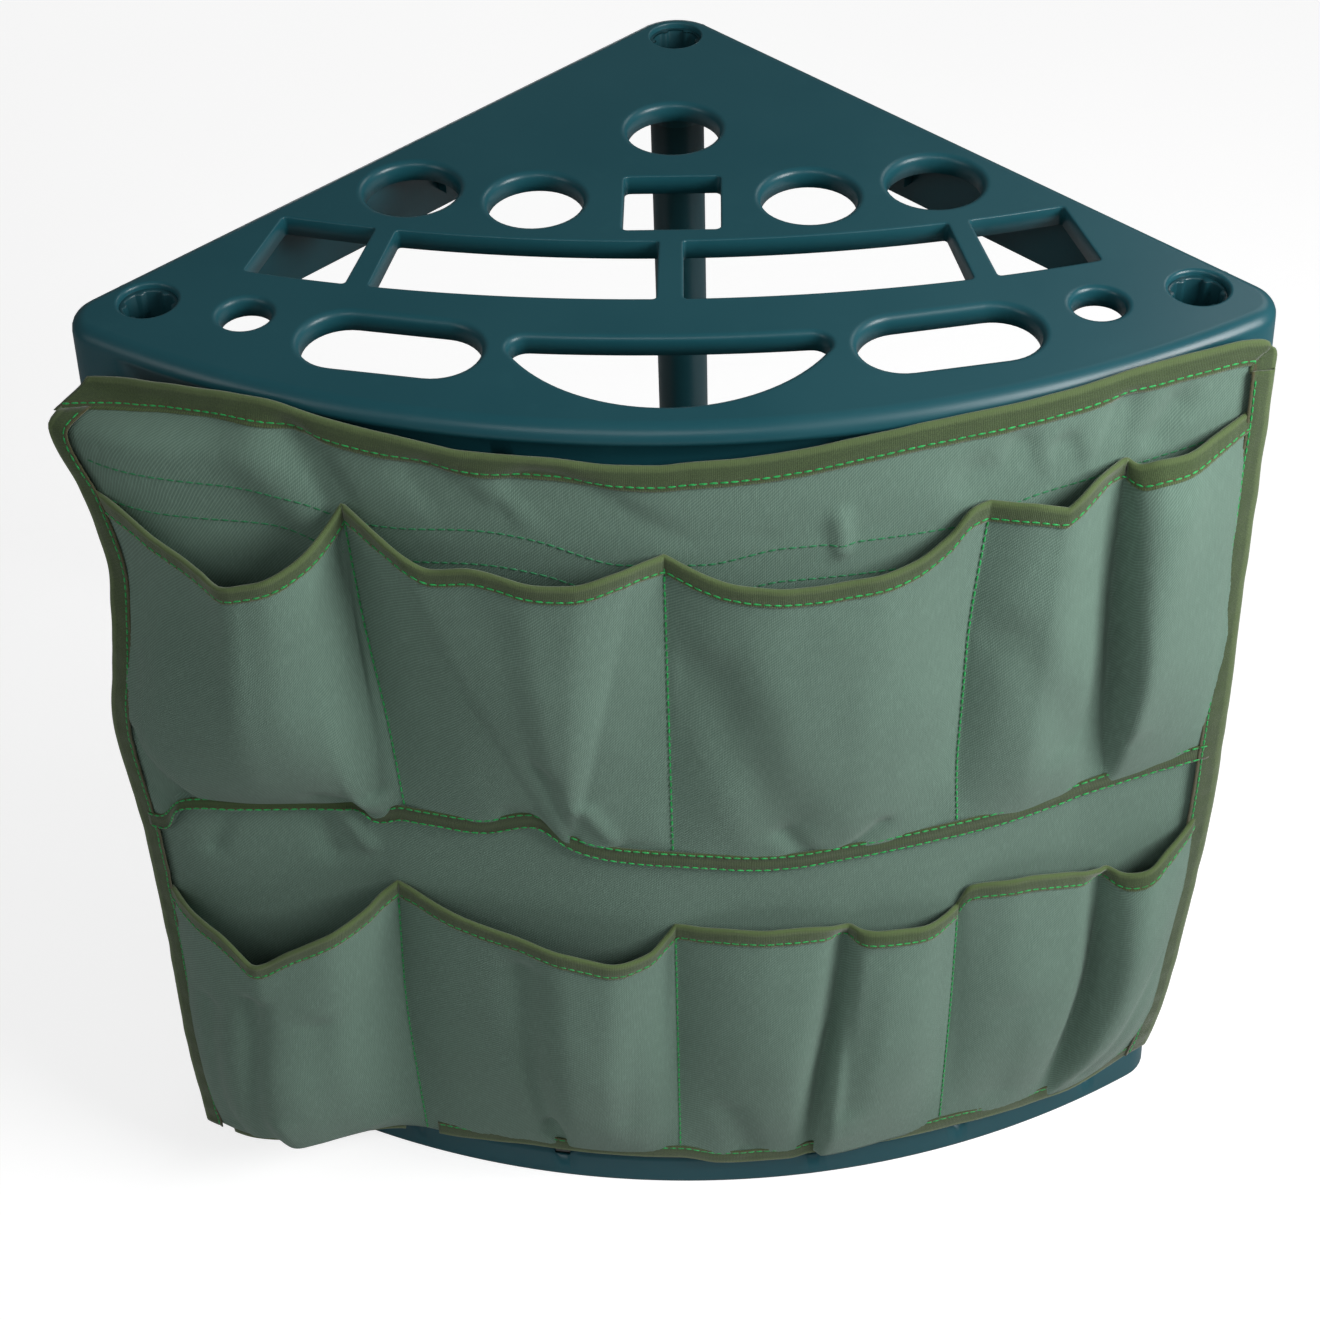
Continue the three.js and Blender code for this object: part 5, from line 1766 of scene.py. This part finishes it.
@dataclass(frozen=True)
class Studio:
    """A pale floor, soft light from above and the right, and the camera of the photograph."""

    shop: Workshop
    camera_place: tuple[float, float, float] = (26.68, -1277.97, 1269.5)
    turn: float = -2.212
    tilt: float = 43.239
    roll: float = 1.952
    lens: float = 63.83
    sensor: float = 36.0
    floor_size: float = 14.0
    lamps: tuple[Lamp, ...] = (
        Lamp("key_panel", (1.06, -0.62, 1.2), (0.0, -0.1, 0.35), 0.7, 0.7, 20.6),
        Lamp("front_panel", (-0.4, -2.6, 2.6), (0.0, 0.0, 0.3), 1.6, 1.0, 13.0),
        Lamp("left_panel", (-2.2, -1.4, 1.4), (0.0, 0.0, 0.3), 1.2, 1.2, 7.0),
        Lamp("rear_panel", (-0.5, 2.6, 0.35), (0.0, 0.0, 0.3), 1.0, 0.6, 5.0),
        Lamp("back_panel", (1.4, 1.9, 2.2), (0.0, -0.1, 0.6), 1.2, 0.8, 7.5),
    )

    def build(self) -> None:
        """Builds the whole studio."""
        self._camera()
        self._floor()
        self._world()
        for lamp in self.lamps:
            lamp.hang()
        bpy.context.scene.view_settings.view_transform = "Standard"

    def _camera(self) -> None:
        """Sets the camera where the photograph was taken."""
        data = bpy.data.cameras.new("view")
        data.lens = self.lens
        data.sensor_width = self.sensor
        data.sensor_fit = "HORIZONTAL"
        data.clip_end = 50
        camera = placed("view", data)
        yaw, pitch, roll = (math.radians(value) for value in (self.turn, self.tilt, self.roll))
        ahead = Vector((math.sin(yaw) * math.cos(pitch), math.cos(yaw) * math.cos(pitch), -math.sin(pitch)))
        right = Vector((math.cos(yaw), -math.sin(yaw), 0))
        down = ahead.cross(right)
        across = right * math.cos(roll) + down * math.sin(roll)
        below = down * math.cos(roll) - right * math.sin(roll)
        turn = Matrix((across, -below, -ahead)).transposed().to_4x4()
        camera.matrix_world = Matrix.Translation(self.shop.at(self.camera_place)) @ turn
        bpy.context.scene.camera = camera

    def _floor(self) -> None:
        """Lays the pale floor, a little brighter to the camera than the light makes it."""
        graph = Graph("pale_floor")
        clouds = graph.spread(graph.noise(graph.places(), 1.5, 3.0), 0.2, 0.8)
        seen = graph.add("ShaderNodeLightPath").outputs["Is Camera Ray"]
        graph.set(
            base_color=graph.blend(clouds, (0.47, 0.47, 0.47), (0.5, 0.5, 0.5)),
            roughness=0.9,
            emission_strength=graph.scaled(seen, 0.0, 0.74),
            emission_color=(1.0, 1.0, 1.0),
        )
        body = bmesh.new()
        bmesh.ops.create_grid(body, x_segments=2, y_segments=2, size=self.floor_size)
        mesh = meshed("floor", body)
        mesh.materials.append(graph.material)
        floor = placed("floor", mesh)
        floor.location.z = -0.0005

    @staticmethod
    def _world() -> None:
        """Sets an even surround, white to the camera and faint as light."""
        world = bpy.data.worlds.new("studio")
        bpy.context.scene.world = world
        world.use_nodes = True
        nodes, links = world.node_tree.nodes, world.node_tree.links
        nodes.clear()
        output, seen, share, surround = (
            nodes.new("ShaderNode" + kind) for kind in ("OutputWorld", "LightPath", "Mix", "Background")
        )
        share.inputs[2].default_value, share.inputs[3].default_value = 0.1, 1.0
        surround.inputs["Color"].default_value = (1.0, 1.0, 1.0, 1.0)
        links.new(seen.outputs["Is Camera Ray"], share.inputs[0])
        links.new(share.outputs[0], surround.inputs["Strength"])
        links.new(surround.outputs[0], output.inputs["Surface"])


def both_sides(edge: Outline, lip: float) -> list[Opening]:
    """Gives an opening and its mirror image on the left side."""
    return [Opening(edge, lip), Opening(lambda grow: mirrored(edge(grow)), lip)]


def deck_openings(plan: TrayPlan) -> list[Opening]:
    """Gives the openings of the top tray's deck."""
    found = []
    for x, y, radius in plan.tool_holes():
        found.append(Opening(partial(plan.round_hole, x, y, radius), 3.6 if radius > plan.tool_hole else 3.0))
    for place, lip in zip(plan.post_holes(), (2.0, 2.0, 0.8)):
        found.append(Opening(partial(plan.round_hole, *place, 15.0), lip, border=0.3))
    found.append(Opening(plan.square_hole, 0.7))
    for start, end in ((6.6, 149.0), (161.0, 214.0)):
        found += both_sides(partial(plan.slot, start, end), 0.7)
    return [*found, *both_sides(plan.long_hole, 3.6), Opening(plan.bow_hole, 3.0)]


def base_openings(plan: TrayPlan) -> list[Opening]:
    """Gives the cups and post holes of the base tray's deck."""
    cups = [Opening(partial(plan.round_hole, *hole), 2.5, 12.0, 14.0) for hole in plan.tool_holes()]
    posts = [partial(plan.round_hole, *place, 16.05) for place in plan.post_holes()]
    return [*cups, *(Opening(edge, 0.1, 6.0, border=0.05) for edge in posts)]


def rack_corner() -> Vector:
    """Finds the wall corner from the rear post's place in the frame."""
    low, high = (Vector(corner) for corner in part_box("post_rear"))
    middle = (low + high) / 2
    return Vector((middle.x, middle.y + ROOT_TWO * TrayPlan().post_side * MM, 0.0))


def main() -> None:
    """Builds the rack and its studio."""
    logging.basicConfig(level=logging.INFO, format="%(name)s: %(message)s")
    shop = Workshop(rack_corner())
    Studio(shop).build()
    plan = TrayPlan()
    Tray(shop, "top_tray_moulding", 550.0, deck_openings(plan)).build()
    Tray(shop, "base_tray_moulding", 0.0, base_openings(plan)).build()
    for node, x, y in (
        ("post_left", -plan.corner_post, -298.66),
        ("post_right", plan.corner_post, -298.66),
        ("post_rear", 0.0, -35.36),
    ):
        Post(shop, node, x, y).build()
    Cloth(shop).build()
    for number, along in enumerate((-270.0, -176.0, -80.0, 80.0, 176.0, 270.0), start=1):
        StrapTab(shop, f"top_strap_tab_{number}", along, 570.0, False).build()
        StrapTab(shop, f"base_strap_tab_{number}", along, 20.0, True).build()


if __name__ == "__main__":
    main()
